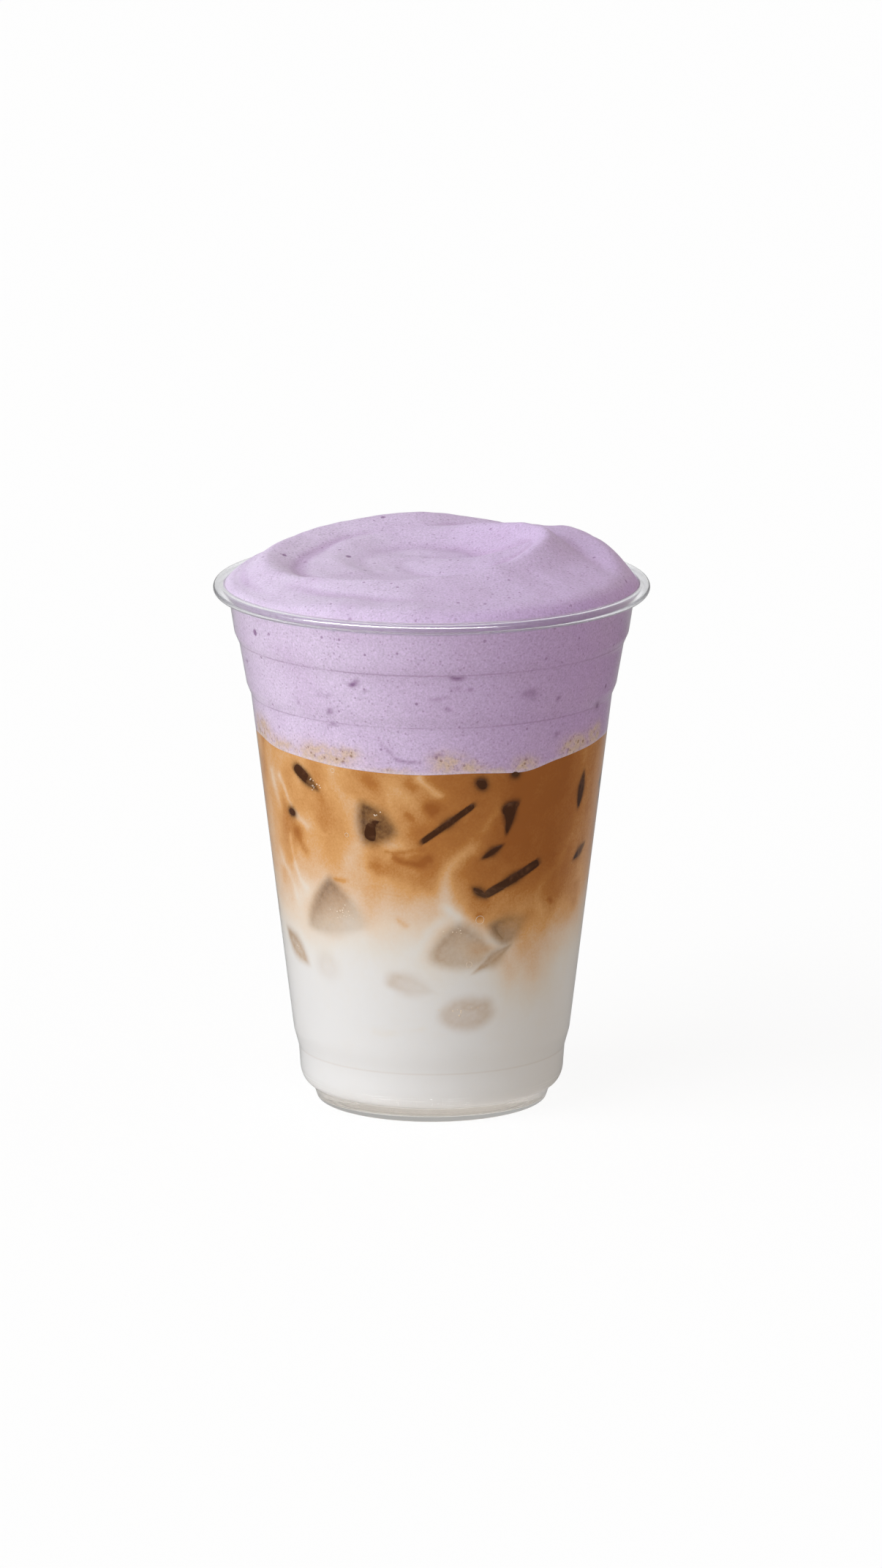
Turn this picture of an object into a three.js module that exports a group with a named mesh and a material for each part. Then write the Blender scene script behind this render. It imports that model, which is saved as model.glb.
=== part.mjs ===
// A layered iced drink in a clear cup: milk at the bottom, tea above it, and a taro cream foam
// that is swirled to a peak over the rim. Millimetres, +Z up, origin under the middle of the foot.
import * as THREE from "three";

// Cup, outside sizes from the foot up
const FOOT_RADIUS = 25.9;
const FOOT_TOP_RADIUS = 27.1;
const FOOT_HEIGHT = 3.4;
const FOOT_RING_WIDTH = 1.3;
const HEEL_RADIUS = 29.8;
const HEEL_HEIGHT = 8;
const BAND_RADIUS = 30.1;
const BAND_HEIGHT = 12;
const WALL_FOOT_RADIUS = 31.2;
const WALL_FOOT_HEIGHT = 16;
const WALL_TOP_RADIUS = 40.6;
const WALL_TOP_HEIGHT = 93.5;
const LEDGE_RISE = 2.5;
const LOW_LEDGE_RADIUS = 41.6;
const HIGH_LEDGE_FOOT_RADIUS = 43.2;
const HIGH_LEDGE_FOOT_HEIGHT = 105.2;
const HIGH_LEDGE_RADIUS = 44.3;
const NECK_RADIUS = 45.6;
const NECK_HEIGHT = 116.2;
const CUP_HEIGHT = 119;
const RIM_RADIUS = 49;
const CURL_RADIUS = 1.4;
const CURL_END = -100;
const SHEET = 0.6;
const FLOOR_THICKNESS = 1;

// Contents
const CLEARANCE = 0.3;
const MILK_LEVEL = 50;
const TEA_LEVEL = 83.6;

// Waves in the two lines between layers: height, waves round the cup, and where they start
const MILK_WAVES = [
  { height: 2.4, count: 2, shift: 0.6 },
  { height: 1.6, count: 3, shift: -0.9 },
];
const FOAM_WAVES = [
  { height: 0.5, count: 1, shift: 0 },
  { height: 0.45, count: 4, shift: 0.5 },
];

// Crest of the swirl along the spoon's spiral path: the angle turned from the right-hand side in
// degrees, the distance from the axis, the height of the broad roll over the middle of the rim, and
// the height of the narrow peak that stands on the roll
const CREST = [
  { angle: -55, radius: 44.5, roll: 0.0, peak: 0.0 },
  { angle: -25, radius: 41.5, roll: 3.0, peak: 0.0 },
  { angle: 0, radius: 39.0, roll: 7.4, peak: 0.0 },
  { angle: 22, radius: 36.5, roll: 9.7, peak: 0.0 },
  { angle: 60, radius: 33.5, roll: 8.2, peak: 0.0 },
  { angle: 97, radius: 31.5, roll: 10.7, peak: 0.0 },
  { angle: 131, radius: 33.0, roll: 9.1, peak: 0.1 },
  { angle: 150, radius: 35.0, roll: 7.9, peak: 0.2 },
  { angle: 168, radius: 36.8, roll: 6.6, peak: 0.3 },
  { angle: 190, radius: 36.5, roll: 5.5, peak: 0.4 },
  { angle: 238, radius: 29.5, roll: 6.0, peak: 0.6 },
  { angle: 280, radius: 25.0, roll: 6.6, peak: 0.8 },
  { angle: 300, radius: 24.2, roll: 7.0, peak: 1.2 },
  { angle: 330, radius: 24.6, roll: 7.6, peak: 2.4 },
  { angle: 352, radius: 25.8, roll: 7.8, peak: 4.2 },
  { angle: 374, radius: 25.4, roll: 8.0, peak: 4.2 },
  { angle: 400, radius: 24.6, roll: 8.2, peak: 3.0 },
  { angle: 440, radius: 23.6, roll: 8.0, peak: 1.0 },
  { angle: 500, radius: 24.0, roll: 7.0, peak: 0.2 },
  { angle: 525, radius: 22.3, roll: 5.9, peak: 0.0 },
  { angle: 560, radius: 18.6, roll: 5.0, peak: 0.0 },
  { angle: 640, radius: 18.0, roll: 2.0, peak: 0.0 },
];
const TURNS = [-360, 0, 360];
const CREASE = 1;

// Flanks of the roll: the inner one bends down towards the heart, and some sides are steeper or gentler
const ROLL = { rounding: 1.6, outerSlope: 0.2, innerSlope: 0.2, innerBend: 0.014 };
const PEAK_REACH = { outside: 3.4, inside: 5 };
const STEEP_LEFT = { angle: 178, spread: 80, slope: 0.55 };
const STEEP_FRONT = { angle: 265, spread: 110, slope: 0.5 };
const GENTLE_RIGHT = { angle: 5, spread: 80, slope: -0.2 };

// Heart of the swirl inside the first turn, which rises to the back, and its fall outside that turn
const HEART = { height: 4.3, tilt: 0.045, bow: 8, radius: 26, fall: 0.14 };

// The last fold, which curls from the heart to the tip: its places in plan and its height over the rim
const FOLD = [
  new THREE.Vector3(-6, 11, 4.4),
  new THREE.Vector3(-2, 4.5, 5.5),
  new THREE.Vector3(4, -1.5, 6.5),
  new THREE.Vector3(10, -2.6, 7.2),
  new THREE.Vector3(16, -1.2, 8.2),
  new THREE.Vector3(21, -0.2, 9.8),
  new THREE.Vector3(25.2, 0.6, 11.5),
];
const FOLD_STEPS = 60;
const FOLD_FLANK = { rounding: 0.8, frontSlope: 0.08, frontBend: 0.012, backSlope: 0.35, crease: 0.5 };
const FOLD_END = { radius: 27, slope: 2 };

// A shallow groove round the front of the skirt, and the skirt's edge at the rim
const GROOVE = { angle: 235, spread: 75, radius: 37, width: 2.6, depth: 0.55 };
const EDGE = { height: 0.7, slope: 1.3, rounding: 0.06, blend: 1.4 };
const FULL_RIGHT = { angle: 0, spread: 95, slope: 0.3 };

// How finely the round shapes are divided
const SEGMENTS = 64;
const HEEL_STEPS = 4;
const CURL_STEPS = 8;
const SWIRL_RINGS = 20;
const SWIRL_RING_STEP = 2.3;
const LAYER_RINGS = [0.35, 0.7, 1];

const CURL_MIDDLE = new THREE.Vector2(RIM_RADIUS - CURL_RADIUS, CUP_HEIGHT - CURL_RADIUS);
const FLOOR_HEIGHT = FOOT_HEIGHT + FLOOR_THICKNESS;
const FOAM_EDGE_RADIUS = CURL_MIDDLE.x - CURL_RADIUS - CLEARANCE;

const point = (radius, height) => new THREE.Vector2(radius, height);
const radians = THREE.MathUtils.degToRad;
const { clamp, lerp, smoothstep } = THREE.MathUtils;

// The rounded heel between the foot and the lowest band, a quarter of an ellipse.
function heel() {
  const reach = HEEL_RADIUS - FOOT_TOP_RADIUS;
  const rise = HEEL_HEIGHT - FOOT_HEIGHT;
  return Array.from({ length: HEEL_STEPS + 1 }, (_, i) => {
    const turn = ((Math.PI / 2) * i) / HEEL_STEPS;
    return point(FOOT_TOP_RADIUS + reach * Math.sin(turn), HEEL_HEIGHT - rise * Math.cos(turn));
  });
}

// The outside of the wall, from the heel to the neck under the rim.
const wallOutside = [
  ...heel(),
  point(BAND_RADIUS, BAND_HEIGHT),
  point(WALL_FOOT_RADIUS, WALL_FOOT_HEIGHT),
  point(WALL_TOP_RADIUS, WALL_TOP_HEIGHT),
  point(LOW_LEDGE_RADIUS, WALL_TOP_HEIGHT + LEDGE_RISE),
  point(HIGH_LEDGE_FOOT_RADIUS, HIGH_LEDGE_FOOT_HEIGHT),
  point(HIGH_LEDGE_RADIUS, HIGH_LEDGE_FOOT_HEIGHT + LEDGE_RISE),
  point(NECK_RADIUS, NECK_HEIGHT),
];

// Outside radius of the wall at a height.
function wallRadius(height) {
  const above = wallOutside.findIndex((p) => p.y >= height);
  if (above < 1) return wallOutside.at(above).x;
  const [low, high] = [wallOutside[above - 1], wallOutside[above]];
  return lerp(low.x, high.x, (height - low.y) / (high.y - low.y));
}

// An arc about the middle of the rolled rim, by degrees: 180 faces the drink, 90 is the top.
function curlArc(radius, from, to) {
  return Array.from({ length: CURL_STEPS + 1 }, (_, i) => {
    const angle = radians(lerp(from, to, i / CURL_STEPS));
    return point(CURL_MIDDLE.x + radius * Math.cos(angle), CURL_MIDDLE.y + radius * Math.sin(angle));
  });
}

// The cup is one formed sheet: a foot ring under a flat floor, a stepped wall and an open rolled rim.
function cupGeometry() {
  const inside = wallOutside.filter((p) => p.y > FLOOR_HEIGHT + SHEET).map((p) => point(p.x - SHEET, p.y));
  const profile = [
    point(0, FOOT_HEIGHT),
    point(FOOT_TOP_RADIUS - FOOT_RING_WIDTH, FOOT_HEIGHT),
    point(FOOT_RADIUS - FOOT_RING_WIDTH, 0),
    point(FOOT_RADIUS, 0),
    ...wallOutside,
    ...curlArc(CURL_RADIUS - SHEET, 180, CURL_END),
    ...curlArc(CURL_RADIUS, CURL_END, 180),
    ...inside.reverse(),
    point(wallRadius(FLOOR_HEIGHT) - SHEET, FLOOR_HEIGHT),
    point(0, FLOOR_HEIGHT),
  ];
  return new THREE.LatheGeometry(profile, SEGMENTS).rotateX(Math.PI / 2);
}

// A closed solid from rings stacked from its underside to its top. Each ring gives [radius, height]
// at an angle, and the first and last rings are closed to a point on the axis.
function ringSolid(rings, bottomMiddle, topMiddle) {
  const positions = [0, 0, bottomMiddle, 0, 0, topMiddle];
  for (const ring of rings) {
    for (let i = 0; i < SEGMENTS; i++) {
      const angle = (2 * Math.PI * i) / SEGMENTS;
      const [radius, height] = ring(angle);
      positions.push(radius * Math.cos(angle), radius * Math.sin(angle), height);
    }
  }
  const at = (ring, i) => 2 + ring * SEGMENTS + (i % SEGMENTS);
  const last = rings.length - 1;
  const indices = [];
  for (let i = 0; i < SEGMENTS; i++) {
    indices.push(0, at(0, i + 1), at(0, i));
    for (let ring = 0; ring < last; ring++) {
      indices.push(at(ring, i), at(ring, i + 1), at(ring + 1, i));
      indices.push(at(ring, i + 1), at(ring + 1, i + 1), at(ring + 1, i));
    }
    indices.push(1, at(last, i), at(last, i + 1));
  }
  const geometry = new THREE.BufferGeometry();
  geometry.setAttribute("position", new THREE.Float32BufferAttribute(positions, 3));
  geometry.setIndex(indices);
  geometry.computeVertexNormals();
  return geometry;
}

// Rings of a surface, given as a height at a radius and angle, from the axis out to a limit.
function surfaceRings(height, limit, shares) {
  return shares.map((share) => (angle) => {
    const radius = share * limit(angle);
    return [radius, height(radius, angle)];
  });
}

const drinkRadius = (height) => wallRadius(height) - SHEET - CLEARANCE;

// A layer's line: level on the axis, with waves that grow towards the wall.
function wavyLine(level, waves) {
  return (radius, angle) => {
    const heights = waves.map((wave) => wave.height * Math.sin(wave.count * angle + wave.shift));
    return level + (radius / WALL_TOP_RADIUS) * heights.reduce((sum, height) => sum + height);
  };
}
const milkLine = wavyLine(MILK_LEVEL, MILK_WAVES);
const foamLine = wavyLine(TEA_LEVEL, FOAM_WAVES);

// Radius of the drink where a layer's surface meets the wall.
const lineRadius = (line) => (angle) => drinkRadius(line(WALL_TOP_RADIUS, angle));
const lowered = (line, by) => (radius, angle) => line(radius, angle) - by;

function milkGeometry() {
  const floor = FLOOR_HEIGHT + CLEARANCE;
  const corner = drinkRadius(floor) - CLEARANCE;
  const sideHeights = wallOutside.map((p) => p.y).filter((y) => y > floor + CLEARANCE && y < MILK_LEVEL);
  const top = lowered(milkLine, CLEARANCE / 2);
  const rings = [
    ...surfaceRings(() => floor, () => corner, LAYER_RINGS),
    ...sideHeights.map((height) => () => [drinkRadius(height), height]),
    ...surfaceRings(top, lineRadius(milkLine), [...LAYER_RINGS].reverse()),
  ];
  return ringSolid(rings, floor, top(0, 0));
}

function teaGeometry() {
  const underside = lowered(milkLine, -CLEARANCE / 2);
  const top = lowered(foamLine, CLEARANCE / 2);
  const rings = [
    ...surfaceRings(underside, lineRadius(milkLine), LAYER_RINGS),
    ...surfaceRings(top, lineRadius(foamLine), [...LAYER_RINGS].reverse()),
  ];
  return ringSolid(rings, underside(0, 0), top(0, 0));
}

const bump = (x) => smoothstep(1 - Math.abs(x), 0, 1);
const rounded = (x, rounding) => Math.hypot(x, rounding) - rounding;

// The higher or lower of two heights, with the crease between them rounded.
function smoothMax(a, b, rounding) {
  const share = clamp(0.5 + (0.5 * (a - b)) / rounding, 0, 1);
  return lerp(b, a, share) + rounding * share * (1 - share);
}
const smoothMin = (a, b, rounding) => -smoothMax(-a, -b, rounding);

// Rate of change of one crest value at a station, weighted towards the nearer neighbour.
function crestRate(i, key) {
  const [before, here, after] = [CREST[i - 1] ?? CREST[i], CREST[i], CREST[i + 1] ?? CREST[i]];
  const back = here.angle - before.angle;
  const on = after.angle - here.angle;
  const backRate = back ? (here[key] - before[key]) / back : (after[key] - here[key]) / on;
  const onRate = on ? (after[key] - here[key]) / on : backRate;
  return back && on ? (backRate * on + onRate * back) / (back + on) : backRate;
}

// One crest value along the path, a smooth curve through the stations.
function crestValue(angle, key) {
  const i = clamp(CREST.findIndex((s) => s.angle >= angle) - 1, 0, CREST.length - 2);
  const [a, b] = [CREST[i], CREST[i + 1]];
  const span = b.angle - a.angle;
  const t = (angle - a.angle) / span;
  const bulge = span * t * (1 - t) * ((1 - t) * crestRate(i, key) - t * crestRate(i + 1, key));
  return lerp(a[key], b[key], t * t * (3 - 2 * t)) + bulge;
}

// How much one side of the cup changes a slope.
const slopeChange = (side, angle) => side.slope * bump((angle - side.angle) / side.spread);

// Height of one turn of the roll about its crest.
function rollHeight(radius, angle) {
  const offset = radius - crestValue(angle, "radius");
  const fall = rounded(offset, ROLL.rounding);
  const outer = ROLL.outerSlope + slopeChange(STEEP_LEFT, angle);
  const change = slopeChange(STEEP_FRONT, angle) + slopeChange(GENTLE_RIGHT, angle);
  const inner = ROLL.innerSlope + change + ROLL.innerBend * fall;
  const slope = offset > 0 ? outer : inner;
  const reach = offset > 0 ? PEAK_REACH.outside : PEAK_REACH.inside;
  return crestValue(angle, "roll") - slope * fall + crestValue(angle, "peak") * Math.exp(-fall / reach);
}

// Height of the last fold: gentle in front of its crest and steeper behind.
const foldPath = new THREE.CatmullRomCurve3(FOLD, false, "catmullrom", 0.5).getPoints(FOLD_STEPS);
function foldHeight(x, y) {
  let nearest = Infinity;
  let crest = 0;
  let side = 0;
  for (let i = 0; i < FOLD_STEPS; i++) {
    const [start, end] = [foldPath[i], foldPath[i + 1]];
    const along = new THREE.Vector2(end.x - start.x, end.y - start.y);
    const offset = new THREE.Vector2(x - start.x, y - start.y);
    const share = clamp(offset.dot(along) / along.lengthSq(), 0, 1);
    const away = Math.hypot(offset.x - share * along.x, offset.y - share * along.y);
    if (away < nearest) {
      nearest = away;
      crest = lerp(start.z, end.z, share);
      side = along.cross(offset);
    }
  }
  const away = rounded(nearest, FOLD_FLANK.rounding);
  const front = (FOLD_FLANK.frontSlope + FOLD_FLANK.frontBend * away) * away;
  const flank = side < 0 ? front : FOLD_FLANK.backSlope * away;
  return crest - flank - FOLD_END.slope * Math.max(Math.hypot(x, y) - FOLD_END.radius, 0);
}

// Height of the foam's top over the middle of the rim.
function swirlHeight(radius, angle) {
  const [x, y] = [radius * Math.cos(angle), radius * Math.sin(angle)];
  const turned = THREE.MathUtils.euclideanModulo(THREE.MathUtils.radToDeg(angle), 360);
  const outside = Math.max(radius - HEART.radius, 0);
  let height = HEART.height + HEART.tilt * (y + Math.hypot(y, HEART.bow)) - HEART.fall * outside;
  for (const turn of TURNS) {
    const path = turned + turn;
    const onPath = path > CREST[0].angle && path < CREST.at(-1).angle;
    if (onPath) height = smoothMax(height, rollHeight(radius, path), CREASE);
  }
  height = smoothMax(height, foldHeight(x, y), FOLD_FLANK.crease);
  const across = (radius - GROOVE.radius) / GROOVE.width;
  height -= GROOVE.depth * bump((turned - GROOVE.angle) / GROOVE.spread) * Math.exp(-(across ** 2));
  const inset = FOAM_EDGE_RADIUS - radius;
  const slope = EDGE.slope + slopeChange(FULL_RIGHT, turned) + slopeChange(FULL_RIGHT, turned - 360);
  return smoothMin(height, EDGE.height + (slope * inset) / (1 + EDGE.rounding * inset), EDGE.blend);
}

const foamTop = (radius, angle) => CURL_MIDDLE.y + swirlHeight(radius, angle);

function foamGeometry() {
  const underside = lowered(foamLine, -CLEARANCE / 2);
  const sideHeights = wallOutside.map((p) => p.y).filter((y) => y >= WALL_TOP_HEIGHT);
  const topRadii = Array.from({ length: SWIRL_RINGS }, (_, i) => FOAM_EDGE_RADIUS - i * SWIRL_RING_STEP);
  const rings = [
    ...surfaceRings(underside, lineRadius(foamLine), LAYER_RINGS),
    ...sideHeights.map((height) => () => [drinkRadius(height), height]),
    ...topRadii.map((radius) => (angle) => [radius, foamTop(radius, angle)]),
  ];
  return ringSolid(rings, underside(0, 0), foamTop(0, 0));
}

function piece(name, geometry, material) {
  const mesh = new THREE.Mesh(geometry, material);
  mesh.name = name;
  return mesh;
}

const clearPlastic = new THREE.MeshStandardMaterial({
  color: 0xe9ecef, roughness: 0.08, metalness: 0, transparent: true, opacity: 0.3,
});
const milkWhite = new THREE.MeshStandardMaterial({ color: 0xe6e1dc, roughness: 0.45, metalness: 0 });
const teaBrown = new THREE.MeshStandardMaterial({ color: 0xb97f45, roughness: 0.45, metalness: 0 });
const taroLilac = new THREE.MeshStandardMaterial({ color: 0xc5aed0, roughness: 0.8, metalness: 0 });

const drink = new THREE.Group();
drink.add(
  piece("cup", cupGeometry(), clearPlastic),
  piece("milk", milkGeometry(), milkWhite),
  piece("tea", teaGeometry(), teaBrown),
  piece("taro_foam", foamGeometry(), taroLilac),
);

export default drink;
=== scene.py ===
import math

import bmesh
import bpy
import numpy as np
from mathutils import Matrix, Vector
from mathutils.bvhtree import BVHTree


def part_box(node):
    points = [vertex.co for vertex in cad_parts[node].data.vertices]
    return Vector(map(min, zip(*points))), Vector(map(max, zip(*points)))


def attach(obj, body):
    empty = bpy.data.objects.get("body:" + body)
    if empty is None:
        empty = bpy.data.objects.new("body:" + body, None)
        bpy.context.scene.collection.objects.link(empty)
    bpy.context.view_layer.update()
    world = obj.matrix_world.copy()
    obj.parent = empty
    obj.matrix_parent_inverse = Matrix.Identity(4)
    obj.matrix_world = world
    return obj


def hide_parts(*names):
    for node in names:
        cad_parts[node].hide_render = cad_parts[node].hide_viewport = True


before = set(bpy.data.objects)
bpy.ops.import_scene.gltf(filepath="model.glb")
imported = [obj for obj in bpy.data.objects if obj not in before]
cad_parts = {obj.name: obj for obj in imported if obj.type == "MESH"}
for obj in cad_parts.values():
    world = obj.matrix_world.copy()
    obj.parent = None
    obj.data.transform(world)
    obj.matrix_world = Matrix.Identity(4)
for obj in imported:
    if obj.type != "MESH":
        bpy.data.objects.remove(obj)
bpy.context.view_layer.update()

# Camera
# A long lens straight in front of the cup and a little above it. The cup stands just left of the
# middle of the picture, so the lens looks past its axis.
MM = 0.001
VIEW_ELEVATION = math.radians(12.9)
VIEW_DISTANCE = 2200 * MM
VIEW_AIM = Vector((2.1, 0, 71.9)) * MM
VIEW_LENS = 224.2
VIEW_WIDTH = 36

camera = bpy.data.objects.new("camera", bpy.data.cameras.new("camera"))
camera.data.lens = VIEW_LENS
camera.data.sensor_width = VIEW_WIDTH
camera.rotation_euler = (math.pi / 2 - VIEW_ELEVATION, 0, 0)
camera.location = VIEW_AIM + VIEW_DISTANCE * Vector((0, -math.cos(VIEW_ELEVATION), math.sin(VIEW_ELEVATION)))
bpy.context.collection.objects.link(camera)
bpy.context.scene.camera = camera

# Cup
# A clear plastic sheet, formed in one piece: a foot ring under a flat floor, a rounded heel, a step
# above it, two ledges below the rim, and a rim that is rolled outwards.
cup_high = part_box("cup")[1] / MM
CURL = 1.4
CURL_END = -100
SHEET = 0.6
FOOT = (25.9, 0)
FOOT_TOP = (27.1, 3.4)
FOOT_RING = 1.3
FOOT_EDGE = 0.35
FLOOR = 1.0
FLOOR_CORNER = 0.8
HEEL_MIDDLE = (27.1, 8.0)
HEEL_SIZE = (2.7, 4.6)
HEEL_START = -80
WALL = ((30.1, 12), (31.2, 16), (40.6, 93.5), (41.6, 96), (43.2, 105.2), (44.3, 107.7), (45.6, 116.2))
BEND = 0.35
ROUND_STEPS = 512


def arc(middle, size, start, end, steps):
    """Points on an arc or a part of an ellipse, from one angle to another in degrees."""
    turn = np.radians(np.linspace(start, end, steps))
    return np.column_stack((middle[0] + size[0] * np.cos(turn), middle[1] + size[1] * np.sin(turn)))


def soften(points, reach, steps=6):
    """The same outline with each inner corner rounded over a reach along both of its sides."""
    points = np.asarray(points, float)
    share = np.linspace(0, 1, steps)[:, None]
    out = [points[:1]]
    for before, corner, after in zip(points, points[1:], points[2:]):
        to_before = before - corner
        to_after = after - corner
        start = corner + to_before * min(reach / np.linalg.norm(to_before), 0.5)
        end = corner + to_after * min(reach / np.linalg.norm(to_after), 0.5)
        out.append((1 - share) ** 2 * start + 2 * share * (1 - share) * corner + share ** 2 * end)
    out.append(points[-1:])
    return np.vstack(out)


def piece_from(name, points, faces):
    """A new smooth mesh object in the scene, from points in millimetres."""
    mesh = bpy.data.meshes.new(name)
    mesh.from_pydata(np.asarray(points) * MM, [], faces)
    mesh.polygons.foreach_set("use_smooth", [True] * len(mesh.polygons))
    mesh.update()
    made = bpy.data.objects.new(name, mesh)
    bpy.context.collection.objects.link(made)
    return made


def ring_points(radius, height, turn):
    """Points of stacked rings about the cup's axis, ring by ring, at the given angles."""
    places = np.broadcast_arrays(radius * np.cos(turn), radius * np.sin(turn), height)
    return np.stack(places, axis=-1).reshape(-1, 3)


def ring_faces(rings, steps, first=0):
    """Faces between stacked rings of points, with the first and last ring closed to a pole."""
    at = first + np.arange(rings * steps).reshape(rings, steps)
    on = np.roll(at, -1, axis=1)
    walls = np.stack((at[:-1], on[:-1], on[1:], at[1:]), axis=-1).reshape(-1, 4).tolist()
    low = first + rings * steps
    bottom = [(low, b, a) for a, b in zip(at[0].tolist(), on[0].tolist())]
    top = [(low + 1, a, b) for a, b in zip(at[-1].tolist(), on[-1].tolist())]
    return walls + bottom + top


def turned(name, profile):
    """A solid of revolution about the cup's axis; the profile starts and ends on the axis."""
    turn = np.linspace(0, 2 * np.pi, ROUND_STEPS, endpoint=False)
    radius, height = profile[1:-1].T
    points = ring_points(radius[:, None], height[:, None], turn)
    poles = [(0, 0, profile[0][1]), (0, 0, profile[-1][1])]
    return piece_from(name, np.vstack((points, poles)), ring_faces(len(radius), ROUND_STEPS))


def add(tree, kind, inputs=None, **settings):
    """A new node, with its settings and inputs; an input is a value or another node's output."""
    made = tree.nodes.new(kind)
    for key, value in settings.items():
        setattr(made, key, value)
    for key, value in (inputs or {}).items():
        if isinstance(value, bpy.types.NodeSocket):
            tree.links.new(value, made.inputs[key])
        else:
            made.inputs[key].default_value = value
    return made


def math_node(tree, operation, *values):
    """The result of a sum on numbers or other nodes' outputs."""
    return add(tree, "ShaderNodeMath", dict(enumerate(values)), operation=operation).outputs[0]


def noise(tree, place, size, **inputs):
    """Cloudy noise from 0 to 1 with features of a size in millimetres."""
    return add(tree, "ShaderNodeTexNoise", {"Vector": place, "Scale": 1 / (size * MM), **inputs}).outputs[0]


def spread(tree, value, low, high, to_low=0.0, to_high=1.0):
    """A value taken from one range to another, with soft ends."""
    inputs = {"Value": value, "From Min": low, "From Max": high, "To Min": to_low, "To Max": to_high}
    return add(tree, "ShaderNodeMapRange", inputs, interpolation_type="SMOOTHSTEP").outputs[0]


def new_material(name):
    """An empty node material: its node tree, the surface position and the output."""
    made = bpy.data.materials.new(name)
    made.use_nodes = True
    tree = made.node_tree
    tree.nodes.clear()
    place = add(tree, "ShaderNodeTexCoord").outputs["Object"]
    return made, tree, place, add(tree, "ShaderNodeOutputMaterial").inputs["Surface"]


floor_height = FOOT_TOP[1] + FLOOR
wall_corners = np.vstack(([FOOT_TOP], arc(HEEL_MIDDLE, HEEL_SIZE, HEEL_START, 0, 10), WALL))
wall_outside = soften(wall_corners, BEND)
wall_inside = wall_outside - (SHEET, 0)
wall_inside = wall_inside[wall_inside[:, 1] > floor_height + FLOOR_CORNER]
curl_middle = (cup_high.x - CURL, cup_high.z - CURL)
foot_outline = [(FOOT_TOP[0] - FOOT_RING, FOOT_TOP[1]), (FOOT[0] - FOOT_RING, FOOT[1]), FOOT, FOOT_TOP]
cup = turned("clear_cup", np.vstack((
    [(0, FOOT_TOP[1])],
    soften(foot_outline, FOOT_EDGE),
    wall_outside[1:],
    arc(curl_middle, (CURL - SHEET,) * 2, 180, CURL_END, 22),
    arc(curl_middle, (CURL,) * 2, CURL_END, 180, 34),
    wall_inside[::-1],
    arc((wall_inside[0][0] - FLOOR_CORNER, floor_height + FLOOR_CORNER), (FLOOR_CORNER,) * 2, -15, -90, 5),
    [(0, floor_height)],
)))


def blend(tree, share, first, second):
    """A colour between two colours."""
    return add(tree, "ShaderNodeMix", {0: share, 6: first, 7: second}, data_type="RGBA").outputs[2]


def level_share(tree, place, low, high):
    """How far up a point is between two levels, from 0 to 1."""
    height = add(tree, "ShaderNodeSeparateXYZ", {0: place}).outputs["Z"]
    return spread(tree, height, low * MM, high * MM)


SHEET_TINT = (0.975, 0.975, 0.975, 1)
RIM_TINT = (0.85, 0.85, 0.872, 1)
RIM_ROUGHNESS = 0.11
FOOT_TINT = (0.84, 0.825, 0.80, 1)
RIM_FADE = 1.0
FOOT_FADE = 0.4
FORMING_SIZE = 30
SCUFF_SIZE = 4
SCUFF_ROUGHNESS = (0.0, 0.03)
NOISE_RANGE = (0.3, 0.7)
clear_plastic, tree, place, surface = new_material("clear_plastic")
at_foot = level_share(tree, place, FOOT_TOP[1] + FOOT_FADE, FOOT_TOP[1] - FOOT_FADE)
at_rim = level_share(tree, place, WALL[-1][1] - RIM_FADE, WALL[-1][1])
tint = blend(tree, at_rim, blend(tree, at_foot, SHEET_TINT, FOOT_TINT), RIM_TINT)
forming = add(tree, "ShaderNodeBump", {
    "Height": noise(tree, place, FORMING_SIZE, Detail=0),
    "Strength": 0.01,
    "Distance": 1 * MM,
})
scuffs = spread(tree, noise(tree, place, SCUFF_SIZE, Detail=3), *NOISE_RANGE, *SCUFF_ROUGHNESS)
sheet = add(tree, "ShaderNodeBsdfPrincipled", {
    "Base Color": tint,
    "Roughness": math_node(tree, "MULTIPLY_ADD", at_rim, RIM_ROUGHNESS, scuffs),
    "IOR": 1.36,
    "Transmission Weight": 1.0,
    "Normal": forming.outputs[0],
})
straight_through = add(tree, "ShaderNodeBsdfTransparent", {"Color": SHEET_TINT})
ray = add(tree, "ShaderNodeLightPath").outputs
lighting = math_node(tree, "MAXIMUM", ray["Is Shadow Ray"], ray["Is Diffuse Ray"])
either = add(tree, "ShaderNodeMixShader", {0: lighting, 1: sheet.outputs[0], 2: straight_through.outputs[0]})
tree.links.new(either.outputs[0], surface)
cup.data.materials.append(clear_plastic)
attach(cup, "root")
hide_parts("cup")

# Ice
# Melting lumps of clear ice under the drink. Where an edge, a corner or a face of one touches the cup's
# wall, it shows as a dark window; where a film of drink lies between, it only shades the drink.
INTO_WALL = 0.45
EASED = 2.2
PROUD = 0.04
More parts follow.
